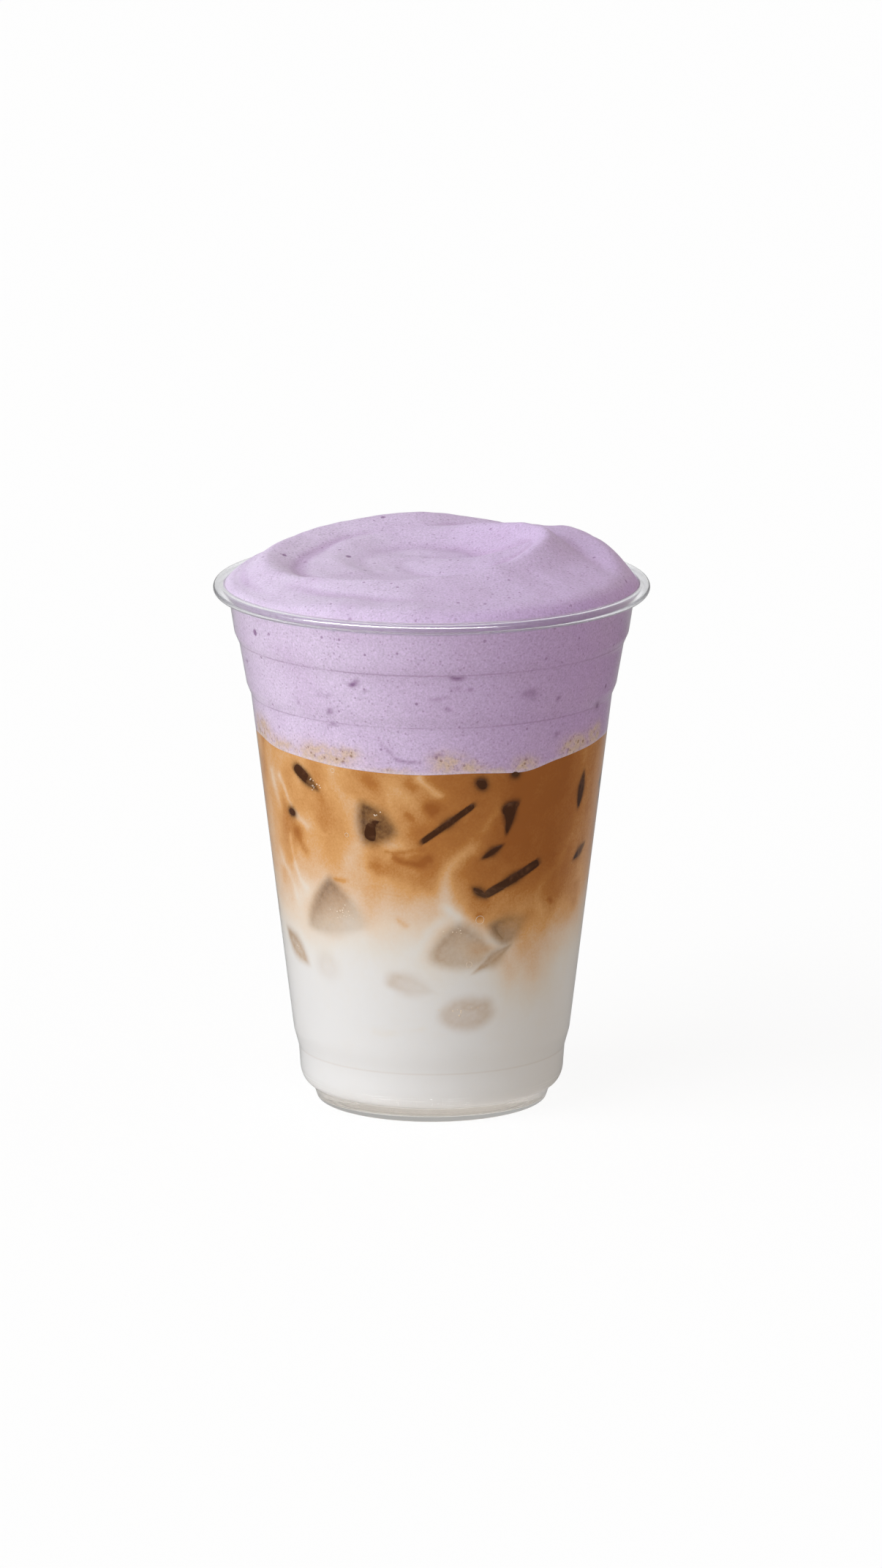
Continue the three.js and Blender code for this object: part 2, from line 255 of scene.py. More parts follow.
# Outlines of the places where a lump meets the wall, in halves of its length and width.
BAR = (
    (-1, -0.7), (-0.97, 0.6), (-0.86, 1), (0, 0.9), (0.9, 1), (1, 0.5), (0.98, -0.7), (0.86, -1),
    (0, -0.8), (-0.9, -1),
)
TAPER = ((-1, -0.9), (-0.95, 0.6), (-0.4, 1), (1, 0.3), (0.6, -0.4), (-0.5, -1))
SLIVER = ((-1, -0.2), (-0.3, 0.9), (0.4, 1), (1, 0.2), (0.4, -0.7), (-0.4, -1))
CORNER = ((-0.85, 1), (-0.1, 0.65), (1, -0.25), (0.7, -0.6), (-0.3, -1), (-0.75, -0.85))
LUMP = ((-1, 0.1), (-0.5, 0.95), (0.5, 0.8), (1, -0.1), (0.5, -0.9), (-0.6, -0.8))
WEDGE = ((-0.9, 0.5), (-0.4, 0.95), (1, 1), (0.5, 0.3), (-0.1, -1), (-0.4, -0.9), (-0.35, 0))
TENT = ((-0.57, -0.98), (-0.93, 0.82), (-0.75, 1), (0.96, 0.96), (0.7, 0.3), (-0.2, -0.9))
ROOF = ((-1, -0.85), (-0.25, 0.85), (0.05, 1), (0.9, 0), (1, -0.6), (0.4, -1))
# Each lump: outline; angle round the cup from the front towards the right; height; length; width;
# slant, rising to the right; and the film of drink over its two ends.
ICE = [
    (TAPER, -45.9, 79.3, 8.6, 2.9, -36, -0.12, 0.12),
    (LUMP, -55.5, 70.4, 2.4, 1.7, 0, 0, 0),
    (CORNER, -19.0, 71.2, 7.8, 8.4, 0, 0.12, 0.2),
    (TAPER, -21.0, 69.8, 5.6, 2.9, 78, -0.12, 0.06),
    (SLIVER, -17.6, 70.4, 5.0, 2.4, -36, -0.04, 0.1),
    (BAR, 5.5, 71.4, 14.2, 1.35, 36, 0, 0),
    (LUMP, 16.7, 80.4, 3.0, 2.2, -42, 0, 0),
    (LUMP, 28.4, 82.0, 1.8, 1.2, 0, 0, 0),
    (WEDGE, 27.4, 72.0, 4.9, 7.2, 0, -0.1, 0.04),
    (SLIVER, 21.5, 64.3, 5.8, 1.2, 27, 0, 0),
    (BAR, 30.2, 57.4, 14.6, 2.0, 25, 0, 0),
    (SLIVER, 17.4, 54.9, 4.2, 1.3, -44, 0, 0),
    (SLIVER, 60.7, 75.0, 9.0, 2.3, 80, -0.1, 0.04),
    (SLIVER, 65.0, 60.1, 6.4, 1.5, 24, -0.05, 0.1),
    (TENT, -39.3, 47.2, 13.6, 13.0, -45, 0.2, 0.9),
    (SLIVER, -63.5, 38.2, 9.8, 2.8, -38, 0.11, 0.2),
    (LUMP, -43.9, 35.6, 4.6, 4.4, -20, 0.9, 1.1),
    (ROOF, 10.8, 42.5, 13.8, 8.4, -4, 0.2, 0.42),
    (CORNER, 29.6, 46.4, 7.4, 5.8, 35, 0.03, 0.5),
    (SLIVER, 24.2, 39.2, 9.6, 1.2, 32, 0.11, 0.2),
    (TAPER, -7.9, 33.2, 8.8, 3.0, -18, 0.45, 0.9),
    (LUMP, 14.3, 26.4, 11.0, 5.8, 4, 0.46, 0.36),
    (SLIVER, 15.4, 28.0, 3.6, 1.3, -6, 0.32, 0.32),
    (LUMP, 20.4, 27.6, 2.2, 1.7, 40, 0.32, 0.32),
]
# How a lump widens from its outline into the drink: how far outwards and how deep. A lump that a film of
# drink covers is more melted: its flanks are gentler and its face is hollow.
FLANKS = ((0.3, 0.14), (0.8, 0.5), (1.7, 1.6), (3.4, 4.6), (3.0, 8.0), (0.5, 10.5))
MELTED_FLANKS = ((0.6, 0.1), (1.4, 0.36), (2.4, 1.0), (3.8, 3.4), (3.6, 8.0), (0.5, 10.5))
FACE_SHARES = (0.25, 0.5, 0.75, 1)
MELTED_HOLLOW = 0.1
# Lumps on the sides and the back: long ones, and short ones whose width is a share of their length.
OTHER_SIDES = (78, 282)
OTHER_COUNT = 22
OTHER_SPREAD = 0.8
OTHER_HEIGHTS = (26, 80)
OTHER_SLANTS = (10, 50)
CLEAR_ABOVE = 52
OTHER_FILM = (0.3, 0.5)
OTHER_FILM_RISE = 0.2
LONG_LENGTH = (9, 14)
LONG_WIDTH = (1.2, 2.2)
SHORT_LENGTH = (3, 7)
SHORT_WIDTH = (0.6, 1)
chance = np.random.default_rng(7)
for i in range(OTHER_COUNT):
    angle = np.interp(i + chance.uniform(0, OTHER_SPREAD), (0, OTHER_COUNT), OTHER_SIDES)
    height = chance.uniform(*OTHER_HEIGHTS)
    film = 0 if height > CLEAR_ABOVE else chance.uniform(*OTHER_FILM)
    outline = (BAR, SLIVER, CORNER, LUMP, TAPER)[chance.integers(5)]
    if outline in (BAR, SLIVER):
        length = chance.uniform(*LONG_LENGTH)
        width = chance.uniform(*LONG_WIDTH)
    else:
        length = chance.uniform(*SHORT_LENGTH)
        width = length * chance.uniform(*SHORT_WIDTH)
    slant = chance.uniform(*OTHER_SLANTS)
    ICE.append((outline, angle, height, length, width, slant, film, film + OTHER_FILM_RISE))


eased_wall = soften(wall_corners, EASED, steps=12)


def wall_radius(height):
    """Radius of the contents: the cup's inside wall, eased at its bends, and a little into it."""
    return np.interp(height, eased_wall[:, 1], eased_wall[:, 0]) - SHEET + INTO_WALL


def on_wall(angle, height, depth=0.0):
    """Points inside the cup by their angle from the front, height and depth under the wall."""
    radius = wall_radius(height) - depth
    turn = np.radians(angle)
    return np.stack(np.broadcast_arrays(radius * np.sin(turn), -radius * np.cos(turn), height), axis=-1)


def melted(outline, rounds=3):
    """The outline with its corners cut again and again, until they are round."""
    points = np.asarray(outline, float)
    for _ in range(rounds):
        following = np.roll(points, -1, axis=0)
        early = 0.75 * points + 0.25 * following
        late = 0.25 * points + 0.75 * following
        points = np.stack((early, late), axis=1).reshape(-1, 2)
    return points


def ice_lump(outline, angle, height, length, width, slant, film, far_film):
    """Points of one lump, as rings from the middle of its face on the wall to its back."""
    flat = melted(outline) * (length / 2, width / 2)
    slope = math.radians(slant)
    size = np.linalg.norm(flat, axis=1, keepdims=True)
    covered = film > 0
    hollow = MELTED_HOLLOW if covered else 0
    flanks = MELTED_FLANKS if covered else FLANKS
    rings = [(flat * share, -hollow * share ** 2) for share in FACE_SHARES]
    rings += [(flat * (1 + out / size), deep - hollow) for out, deep in flanks]
    points = []
    for ring, deep in rings + [(flat[:1] * 0, FLANKS[-1][1]), (flat[:1] * 0, 0)]:
        right = ring[:, 0] * math.cos(slope) - ring[:, 1] * math.sin(slope)
        up = ring[:, 0] * math.sin(slope) + ring[:, 1] * math.cos(slope)
        cover = np.interp(ring[:, 0], (-length / 2, length / 2), (film, far_film))
        depth = deep + np.where(cover > 0, cover, -PROUD)
        aside = np.degrees(right / wall_radius(height + up))
        points.append(on_wall(angle + aside, height + up, depth))
    *rings, back, front = points
    return np.vstack(rings[::-1] + [back, front]), len(rings), len(flat)


ice_points = []
ice_faces = []
for entry in ICE:
    points, rings, steps = ice_lump(*entry)
    ice_faces += ring_faces(rings, steps, first=sum(len(p) for p in ice_points))
    ice_points.append(points)
ice_points = np.vstack(ice_points)
ice = piece_from("ice_lumps", ice_points, ice_faces)
ice.data.set_sharp_from_angle(angle=math.radians(50))

ICE_IN_TEA = (0.052, 0.017, 0.005, 1)
ICE_IN_MILK_AND_STEP_SHADE = (0.41, 0.262, 0.142, 1)
CRACK_IN_TEA = (0.115, 0.047, 0.02, 1)
CRACK_IN_MILK = (0.52, 0.43, 0.33, 1)
MILKY_ICE = 34
TEA_ICE = 58
CRACK_SIZE = 3.2
CRACK_RANGE = (0.52, 0.75)
ICE_ROUGHNESS = (0.3, 0.5)
wet_ice, tree, place, surface = new_material("wet_ice")
cracks = spread(tree, noise(tree, place, CRACK_SIZE, Detail=4, Distortion=1.2), *CRACK_RANGE)
sunk = level_share(tree, place, MILKY_ICE, TEA_ICE)
clear_ice = add(tree, "ShaderNodeBsdfPrincipled", {
    "Base Color": blend(tree, cracks, blend(tree, sunk, ICE_IN_MILK_AND_STEP_SHADE, ICE_IN_TEA),
                        blend(tree, sunk, CRACK_IN_MILK, CRACK_IN_TEA)),
    "Roughness": spread(tree, cracks, 0, 1, *ICE_ROUGHNESS),
    "Specular IOR Level": 0.05,
})
tree.links.new(clear_ice.outputs[0], surface)
ice.data.materials.append(wet_ice)
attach(ice, "root")

# Air bubbles
# Specks of air frozen into the ice, which catch the light, and a few round bubbles of froth that cling
# to the wall. Each is a flat bead or ring of pale froth on the surface of the drink. On the specks the
# pale colour is painted glint, for the light they catch.
SPECK_SIZE = (0.1, 0.26)
SPECK_NARROWING = (0.5, 1)
SPECK_LIFT = 0.3
# Clusters of specks, painted pale as glints: angle, height, width, height of the cluster, and how many.
GLINT_SPECKS = (
    (-42.5, 78.4, 2.2, 1.6, 12), (-34, 49.2, 3.4, 1.8, 16), (-63, 38.3, 1.6, 2.0, 9),
    (12.5, 27.4, 4.2, 1.4, 13), (-43, 36.4, 2.0, 0.8, 5), (8.5, 46.0, 3.0, 0.8, 6),
    (-19, 73.4, 2.0, 0.8, 4), (140, 60, 3, 2, 9), (205, 45, 3, 2, 9), (255, 70, 3, 2, 9),
)
# Round bubbles: angle, height, radius and width of the ring.
RINGS = (
    (17.9, 48.5, 0.95, 0.1), (14.4, 38.1, 0.66, 0.13), (-30.3, 67.7, 0.45, 0.1), (-34.2, 82.4, 0.5, 0.1),
    (120, 66, 0.7, 0.12), (232, 52, 0.8, 0.12),
)
# Corners of a ring's section: outwards in halves of its width, and up in widths.
RING_SECTION = ((-1, -0.3), (-0.5, 0.3), (0.5, 0.3), (1, -0.3))
RING_STEPS = 24
froth_mesh = bmesh.new()


def face_out(angle, height):
    """A place on the wall as a matrix: first axis to the right, second up the wall, third outwards."""
    below, at, above = (Vector(on_wall(angle, height + step, -PROUD)) for step in (-1, 0, 1))
    right = Vector((math.cos(math.radians(angle)), math.sin(math.radians(angle)), 0))
    up = (above - below).normalized()
    return Matrix.Translation(at) @ Matrix((right, up, right.cross(up))).transposed().to_4x4()


for angle, height, width, tall, count in GLINT_SPECKS:
    for _ in range(count):
        right, up = chance.normal(size=2) * (width / 2, tall / 2)
        size = chance.uniform(*SPECK_SIZE)
        where = face_out(angle + math.degrees(right / wall_radius(height)), height + up)
        flat_bead = Matrix.Diagonal((size, size * chance.uniform(*SPECK_NARROWING), size * SPECK_LIFT, 1))
        bmesh.ops.create_icosphere(froth_mesh, subdivisions=1, radius=1, matrix=where @ flat_bead)
for angle, height, radius, width in RINGS:
    where = face_out(angle, height)
    loops = []
    for out, lift in RING_SECTION:
        turn = np.linspace(0, 2 * np.pi, RING_STEPS, endpoint=False)
        reach = radius + out * width / 2
        at = [where @ Vector((reach * math.cos(t), reach * math.sin(t), lift * width)) for t in turn]
        loops.append([froth_mesh.verts.new(p) for p in at])
    for inner, outer in zip(loops, loops[1:] + loops[:1]):
        for i in range(RING_STEPS):
            froth_mesh.faces.new((inner[i - 1], outer[i - 1], outer[i], inner[i]))
bmesh.ops.recalc_face_normals(froth_mesh, faces=froth_mesh.faces)
bmesh.ops.scale(froth_mesh, vec=(MM,) * 3, verts=froth_mesh.verts)
froth = bpy.data.objects.new("air_bubbles", bpy.data.meshes.new("air_bubbles"))
froth_mesh.to_mesh(froth.data)
bpy.context.collection.objects.link(froth)

# Pale froth colour. On the specks of air in the ice it is painted glint.
PALE_FROTH_AND_GLINT = (0.72, 0.61, 0.48, 1)
FROTH_AMBER = (0.62, 0.42, 0.26, 1)
AMBER_SIZE = 0.8
AMBER_RANGE = (0.5, 0.8)
FROTH_GRAIN = 0.5
FROTH_ROUGHNESS = (0.15, 0.4)
froth_and_glint_film, tree, place, surface = new_material("froth_and_glint_film")
amber = spread(tree, noise(tree, place, AMBER_SIZE), *AMBER_RANGE)
film = add(tree, "ShaderNodeBsdfPrincipled", {
    "Base Color": blend(tree, amber, PALE_FROTH_AND_GLINT, FROTH_AMBER),
    "Roughness": spread(tree, noise(tree, place, FROTH_GRAIN), *NOISE_RANGE, *FROTH_ROUGHNESS),
})
tree.links.new(film.outputs[0], surface)
froth.data.materials.append(froth_and_glint_film)
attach(froth, "root")

# Milk and tea
# Milk over the ice, and tea poured on top of it, which sinks into the milk in wisps. Both are cloudy, so
# only what touches the wall shows. They fill the cup to its wall and share one marbled colour.
MILK_LEVEL = 50.0
TEA_LEVEL = 83.6
MILK_WAVES = ((2.4, 2, 0.6), (1.6, 3, -0.9))
# The line under the foam: angle from the front towards the right, and height.
FOAM_LINE = np.array((
    (-180, 84.2), (-130, 83.2), (-100, 84.8), (-75, 85.8), (-62, 84.5), (-48, 84.2), (-31, 83.4),
    (-16, 83.0), (-4, 82.8), (13, 83.1), (29, 82.3), (35, 82.3), (41, 83.6), (55, 84.5), (75, 85.3),
    (105, 84.2), (140, 83.0), (180, 84.2),
))
LINE_BLUR = np.array((-4, -2, 0, 2, 4))
DRINK_STEPS = 640
ROW = 0.38
CAP_SHARES = np.array((0.3, 0.6, 0.85, 0.97))[:, None]


def filling(name, low, high, low_middle, high_middle):
    """A layer that fills the cup between two lines, as rings with a cap at each end."""
    turn = np.linspace(0, 2 * np.pi, DRINK_STEPS, endpoint=False)
    low = low(turn)
    high = high(turn)
    share = np.linspace(0, 1, int((high_middle - low_middle) / ROW))[:, None]
    height = low + (high - low) * share
    radius = wall_radius(height)
    radius = np.vstack((radius[0] * CAP_SHARES, radius, radius[-1] * CAP_SHARES[::-1]))
    floor = low_middle + (low - low_middle) * CAP_SHARES
    lid = high_middle + (high - high_middle) * CAP_SHARES[::-1]
    height = np.vstack((floor, height, lid))
    poles = [(0, 0, low_middle), (0, 0, high_middle)]
    points = np.vstack((ring_points(radius, height, turn), poles))
    made = piece_from(name, points, ring_faces(len(radius), DRINK_STEPS))
    made.data.set_sharp_from_angle(angle=math.radians(50))
    return made


def milk_floor(turn):
    """Height of the milk's bottom edge, just into the cup's floor."""
    return np.full(turn.shape, floor_height - INTO_WALL)


def milk_line(turn):
    """Height of the line between milk and tea."""
    return MILK_LEVEL + sum(high * np.sin(count * turn + shift) for high, count, shift in MILK_WAVES)


def foam_line(turn):
    """Height of the line between tea and foam, blurred a little along the wall."""
    angle = (np.degrees(turn)[..., None] + 90 + LINE_BLUR + 180) % 360 - 180
    return np.interp(angle, *FOAM_LINE.T).mean(axis=-1)


milk = filling("milk_layer", milk_floor, milk_line, floor_height - INTO_WALL, MILK_LEVEL)
tea = filling("tea_layer", milk_line, foam_line, MILK_LEVEL, TEA_LEVEL)

# How the tea has sunk: angle from the front towards the right, the level where it is half milk, the
# depth over which it mixes, and its strength above that.
SINKING = np.array((
    (-180, 48, 15, 1.0), (-120, 50, 15, 0.9), (-75, 47.5, 15, 0.84), (-60, 47.5, 13, 0.86),
    (-45, 49, 13, 0.87), (-30, 51, 15, 0.84), (-15, 48.5, 14, 0.9), (0, 48, 16, 1.15),
    (15, 46.5, 14, 1.19), (30, 44, 20, 1.32), (45, 42.5, 18, 1.32), (60, 42.5, 16, 1.04),
    (75, 45, 15, 0.95), (120, 45, 15, 1.1), (180, 48, 15, 1.0),
))
# Wisps of milk in the tea: width, strength, and the way each takes in angles and heights.
PALE_WISPS = (
    (0.9, 0.35, ((14, 65.8), (8, 62.4), (5, 58.9), (5, 53.5), (4, 49.9), (-1, 45.2), (-5, 41))),
    (0.8, 0.4, ((6, 51.7), (10, 48.9), (17, 45.4), (24, 42.9), (28, 41.8), (23, 39.1), (19, 36.3))),
    (0.4, 0.3, ((-62, 77.3), (-57, 73.2), (-53, 70.1), (-48, 67.8))),
    (0.45, 0.26, ((-67, 79), (-66, 75), (-64, 71))),
    (0.4, 0.26, ((-58, 64.2), (-58, 60.1), (-56, 56.2), (-51, 53.8))),
    (0.5, 0.2, ((-68, 60), (-61, 53.8), (-59, 50.5))),
    (0.45, 0.34, ((-4, 82.4), (-2, 80.3), (2, 78.2))),
    (1.4, 0.2, ((-9, 79), (-5, 76.4), (-3, 73.8))),
    (0.4, 0.14, ((-8, 63.6), (-5, 64.3), (-2, 64.4))),
    (0.7, 0.12, ((-16, 66), (-10, 66.2), (-4, 65.6))),
    (1.2, 0.2, ((-42, 56.6), (-47, 54), (-57, 51))),
    (0.7, 0.12, ((43, 50), (44, 54.6), (52, 59.6), (57, 64.3), (59, 68.2))),
    (0.6, 0.2, ((19, 70), (20, 72.6), (22, 74.4))),
    (0.9, 0.07, ((-28, 76), (-26, 68), (-30, 62))),
    (1.2, 0.25, ((100, 78), (108, 66), (104, 54))),
    (1.0, 0.3, ((150, 74), (158, 62), (150, 50))),
    (1.2, 0.25, ((200, 80), (194, 66), (204, 52))),
    (1.0, 0.3, ((250, 76), (258, 64), (252, 50))),
)
# Streaks of strong tea, in the same way.
DEEP_WISPS = (
    (1.0, 0.34, ((-13, 63.0), (-8.5, 61.8), (-4, 62.2), (-1, 63.8))),
    (0.6, 0.2, ((-17, 64.6), (-11, 64.6), (-6, 64.8), (-3, 65.4))),
    (0.5, 0.2, ((-10, 63.4), (-6.5, 63.4), (-3.5, 64.2))),
    (1.2, 0.3, ((0, 76.2), (2, 75))),
    (1.4, 0.2, ((-21, 81), (-19, 80))),
    (0.9, 0.2, ((-9, 74), (-7, 73.4))),
    (1.7, 0.22, ((-20, 61), (-16, 60))),
    (0.6, 0.25, ((-37, 57.2), (-33, 56.8))),
    (1.5, 0.26, ((-53, 66), (-50, 61.7))),
    (1.4, 0.2, ((-8, 81.4), (-6, 80))),
    (0.6, 0.2, ((39, 74.6), (41, 73.4))),
    (1.6, 0.2, ((66, 52), (67, 48))),
    (0.5, 0.25, ((48.5, 51.2), (49.5, 50.2))),
    (1.8, 0.07, ((38, 41.5), (33, 35.8))),
    (1.8, 0.1, ((47, 44), (49, 39.8))),
    (0.7, 0.25, ((-12, 48.4), (-10, 47.8))),
    (0.85, 0.3, ((17.9, 48.4), (17.9, 48.6))),
    (0.7, 0.06, ((-24, 21.6), (-12, 22.1), (-4, 22.9))),
)
# Slow and quick turns of the drink that bend all this: size of an eddy and how far it carries.
EDDIES = ((20, 1.5), (7, 0.5))
WISP_EDDIES = ((9, 0.5), (3, 0.12))
# Streaks where tea and milk mix, drawn out upwards: size and strength.
STREAKS = ((11, 0.06), (5, 0.03))
STREAK_STRETCH = 0.45
STREAK_LEAST = 0.25
MIXING_STEEPNESS = 3
# A milk wisp has a narrow core and a wider halo, and fades where there is little tea.
WISP_WIDTH = 1.7
WISP_CORE = 0.65
WISP_HALO = 2.4
WISP_NEEDS_TEA = 1.6
WISP_PATH_STEPS = 8
FILM = 0.5


def drift(points, size, seed, waves=24):
    """A smooth random field over points, mostly from -1 to 1, with features of one size."""
    fixed = np.random.default_rng(seed)
    way = fixed.normal(size=(waves, 3))
    way *= 2 * np.pi / size / np.linalg.norm(way, axis=1, keepdims=True)
    shift = fixed.uniform(0, 2 * np.pi, waves)
    return np.cos(points @ way.T + shift).sum(axis=1) / math.sqrt(waves)


def carried(points, eddies, seed):
    """Points moved along by eddies, each given as its size and how far it carries."""
    for i, (size, reach) in enumerate(eddies):
        points = points + reach * np.column_stack([drift(points, size, seed + 3 * i + k) for k in range(3)])
    return points


def smooth_path(points, steps):
    """A smooth path through points, with a number of steps between each two."""
    ends = np.vstack((2 * points[0] - points[1], points, 2 * points[-1] - points[-2]))
    t = np.linspace(0, 1, steps, endpoint=False)[:, None]
    spans = []
    for a, b, c, d in zip(ends, ends[1:], ends[2:], ends[3:]):
        bow = (2 * a - 5 * b + 4 * c - d) * t ** 2 + (3 * b - a - 3 * c + d) * t ** 3
        spans.append(b + 0.5 * ((c - a) * t + bow))
    return np.vstack(spans + [points[-1:]])


def path_distance(points, stations):
    """Distance of each point from a smooth path on the wall."""
    path = on_wall(*smooth_path(np.asarray(stations, float), WISP_PATH_STEPS).T)
    nearest = np.full(len(points), np.inf)
    for start, end in zip(path, path[1:]):
        along = end - start
        share = np.clip((points - start) @ along / (along @ along), 0, 1)
        nearest = np.minimum(nearest, np.linalg.norm(points - start - share[:, None] * along, axis=1))
    return nearest


def tea_share(points):
    """How much of the drink is tea at each point: 0 is milk, 1 is tea, more is stronger."""
    stirred = carried(points, EDDIES, seed=20)
    angle = np.degrees(np.arctan2(stirred[:, 0], -stirred[:, 1]))
    level, depth, strength = (np.interp(angle, SINKING[:, 0], SINKING[:, i]) for i in (1, 2, 3))
    share = strength / (1 + np.exp(-MIXING_STEEPNESS * (stirred[:, 2] - level) / depth))
    drawn = stirred * (1, 1, STREAK_STRETCH)
    whole = np.clip(share, 0, 1)
    mixed = np.clip(4 * whole * (1.15 - whole), STREAK_LEAST, 1)
    for i, (size, amount) in enumerate(STREAKS):
        streak = amount * mixed * drift(drawn, size, seed=40 + i)
        share = share + streak * np.clip(2 * share, 0, 1)
    loose = carried(points, WISP_EDDIES, seed=60)
    for width, amount, stations in PALE_WISPS:
        away = path_distance(loose, stations) / (WISP_WIDTH * width)
        thin = WISP_CORE * np.exp(-away ** 2) + (1 - WISP_CORE) * np.exp(-(away / WISP_HALO) ** 2)
        share = share - amount * thin * np.clip(WISP_NEEDS_TEA * share, 0, 1)
    for width, amount, stations in DEEP_WISPS:
        share = share + amount * np.exp(-(path_distance(loose, stations) / width) ** 2)
    return share


ice_under = BVHTree.FromPolygons(ice_points.tolist(), ice_faces)


def film_over_ice(points, lead=3.0, limit=8.0):
    """How clearly ice shows at each point of the wall: 1 on the wall, fading as the drink covers it."""
    shown = np.zeros(len(points))
    for i, (x, y, z) in enumerate(points.tolist()):
        inward = Vector((-x, -y, 0)).normalized()
        hit = ice_under.ray_cast(Vector((x, y, z)) - inward * lead, inward, limit)
        if hit[3] is not None:
            shown[i] = math.exp(-max(hit[3] - lead, 0) / FILM)
    return shown


def mesh_points(made):
    """Points of a mesh in millimetres."""
    flat = np.empty(len(made.data.vertices) * 3, np.float32)
    made.data.vertices.foreach_get("co", flat)
    return flat.reshape(-1, 3).astype(float) / MM


def point_values(made, name, values):
    """Stores one number for each point of a mesh."""
    kept = made.data.attributes.new(name, "FLOAT", "POINT")
    kept.data.foreach_set("value", np.asarray(values, np.float32))


def stored(tree, name):
    """The number that is stored under a name for each point of a mesh."""
    return add(tree, "ShaderNodeAttribute", attribute_name=name).outputs["Fac"]


for layer in (milk, tea):
    points = mesh_points(layer)
    point_values(layer, "tea_share", tea_share(points))
    point_values(layer, "ice_near", film_over_ice(points))


def painted_shade_line(tree, place, height, width):
    """Mask of a thin level line round the wall, where the sheet has a bend, for painted shade in the bend."""
    below = level_share(tree, place, height - width, height)
    above = level_share(tree, place, height + width, height)
    return math_node(tree, "MULTIPLY", below, above)


# Painted shade: a thin darker line on the milk where the sheet bends at the step, in the colour of ice in
# milk.
STEP_LINE = 12.1
STEP_LINE_WIDTH = 0.35
STEP_LINE_SHADE = 0.14
# Cloudiness at every scale: size of its features, change of strength, and how it curls.
CLOUDINESS = (
    (7, 0.14, {"Detail": 5, "Roughness": 0.6, "Distortion": 1.0}),
    (2.6, 0.2, {"Detail": 6, "Roughness": 0.65, "Distortion": 1.8}),
    (0.45, 0.2, {"Detail": 2}),
)
CLOUDY_MILK = 0.4
CLOUDY_FROM = 0.6
BLOOM_SIZE = 1.1
BLOOM = (0.8, 1)
DRINK_ROUGHNESS = (0.5, 0.7)
# Colours of the drink by the strength of the tea.
STRONGEST = 1.3
DRINK_COLOURS = (
    (0.0, (0.69, 0.68, 0.675, 1)), (0.13, (0.685, 0.64, 0.585, 1)), (0.36, (0.685, 0.555, 0.435, 1)),
    (0.6, (0.645, 0.43, 0.27, 1)), (0.8, (0.60, 0.31, 0.113, 1)), (1.05, (0.41, 0.16, 0.036, 1)),
    (1.3, (0.30, 0.095, 0.016, 1)),
)
marbling = bpy.data.node_groups.new("marbled_drink", "ShaderNodeTree")
marbling.interface.new_socket("Colour", in_out="OUTPUT", socket_type="NodeSocketColor")
shown = add(marbling, "NodeGroupOutput")
place = add(marbling, "ShaderNodeTexCoord").outputs["Object"]
unrest = 0
for size, amount, curl in CLOUDINESS:
    change = math_node(marbling, "MULTIPLY_ADD", noise(marbling, place, size, **curl), amount, -amount / 2)
    unrest = math_node(marbling, "ADD", unrest, change)
share = stored(marbling, "tea_share")
unrest = math_node(marbling, "MULTIPLY", unrest, spread(marbling, share, 0, CLOUDY_FROM, CLOUDY_MILK, 1))
strength = math_node(marbling, "DIVIDE", math_node(marbling, "ADD", share, unrest), STRONGEST)
ramp = add(marbling, "ShaderNodeValToRGB", {0: strength})
stops = ramp.color_ramp.elements
first, *middle, last = DRINK_COLOURS
stops[0].color = first[1]
stops[1].color = last[1]
for at, colour in middle:
    stops.new(at / STRONGEST).color = colour
sunk = level_share(marbling, place, MILKY_ICE, TEA_ICE)
ice_tint = blend(marbling, sunk, ICE_IN_MILK_AND_STEP_SHADE, ICE_IN_TEA)
bloom = spread(marbling, noise(marbling, place, BLOOM_SIZE, Detail=4, Roughness=0.7), *NOISE_RANGE, *BLOOM)
clearness = math_node(marbling, "MULTIPLY", stored(marbling, "ice_near"), bloom)
tint = blend(marbling, clearness, ramp.outputs[0], ice_tint)
line = painted_shade_line(marbling, place, STEP_LINE, STEP_LINE_WIDTH)
line = math_node(marbling, "MULTIPLY", line, STEP_LINE_SHADE)
marbling.links.new(blend(marbling, line, tint, ICE_IN_MILK_AND_STEP_SHADE), shown.inputs["Colour"])

for layer, node in ((milk, "milk"), (tea, "tea")):
    cloudy, tree, place, surface = new_material("cloudy_" + node)
    liquid = add(tree, "ShaderNodeBsdfPrincipled", {
        "Base Color": add(tree, "ShaderNodeGroup", node_tree=marbling).outputs["Colour"],
        "Roughness": spread(tree, noise(tree, place, 3), *NOISE_RANGE, *DRINK_ROUGHNESS),
        "Specular IOR Level": 0.05,
    })
    tree.links.new(liquid.outputs[0], surface)
    layer.data.materials.append(cloudy)
    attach(layer, "root")
    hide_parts(node)

# Taro foam
# Whipped taro cream, spooned on the tea to above the rim and drawn round with the spoon, so that a
# roll winds in from the rim to a curled tip. It is full of fine pores and fills the cup to its wall.
FOAM_STEPS = 480
TOP_ROW = 0.45
SIDE_ROWS = 76
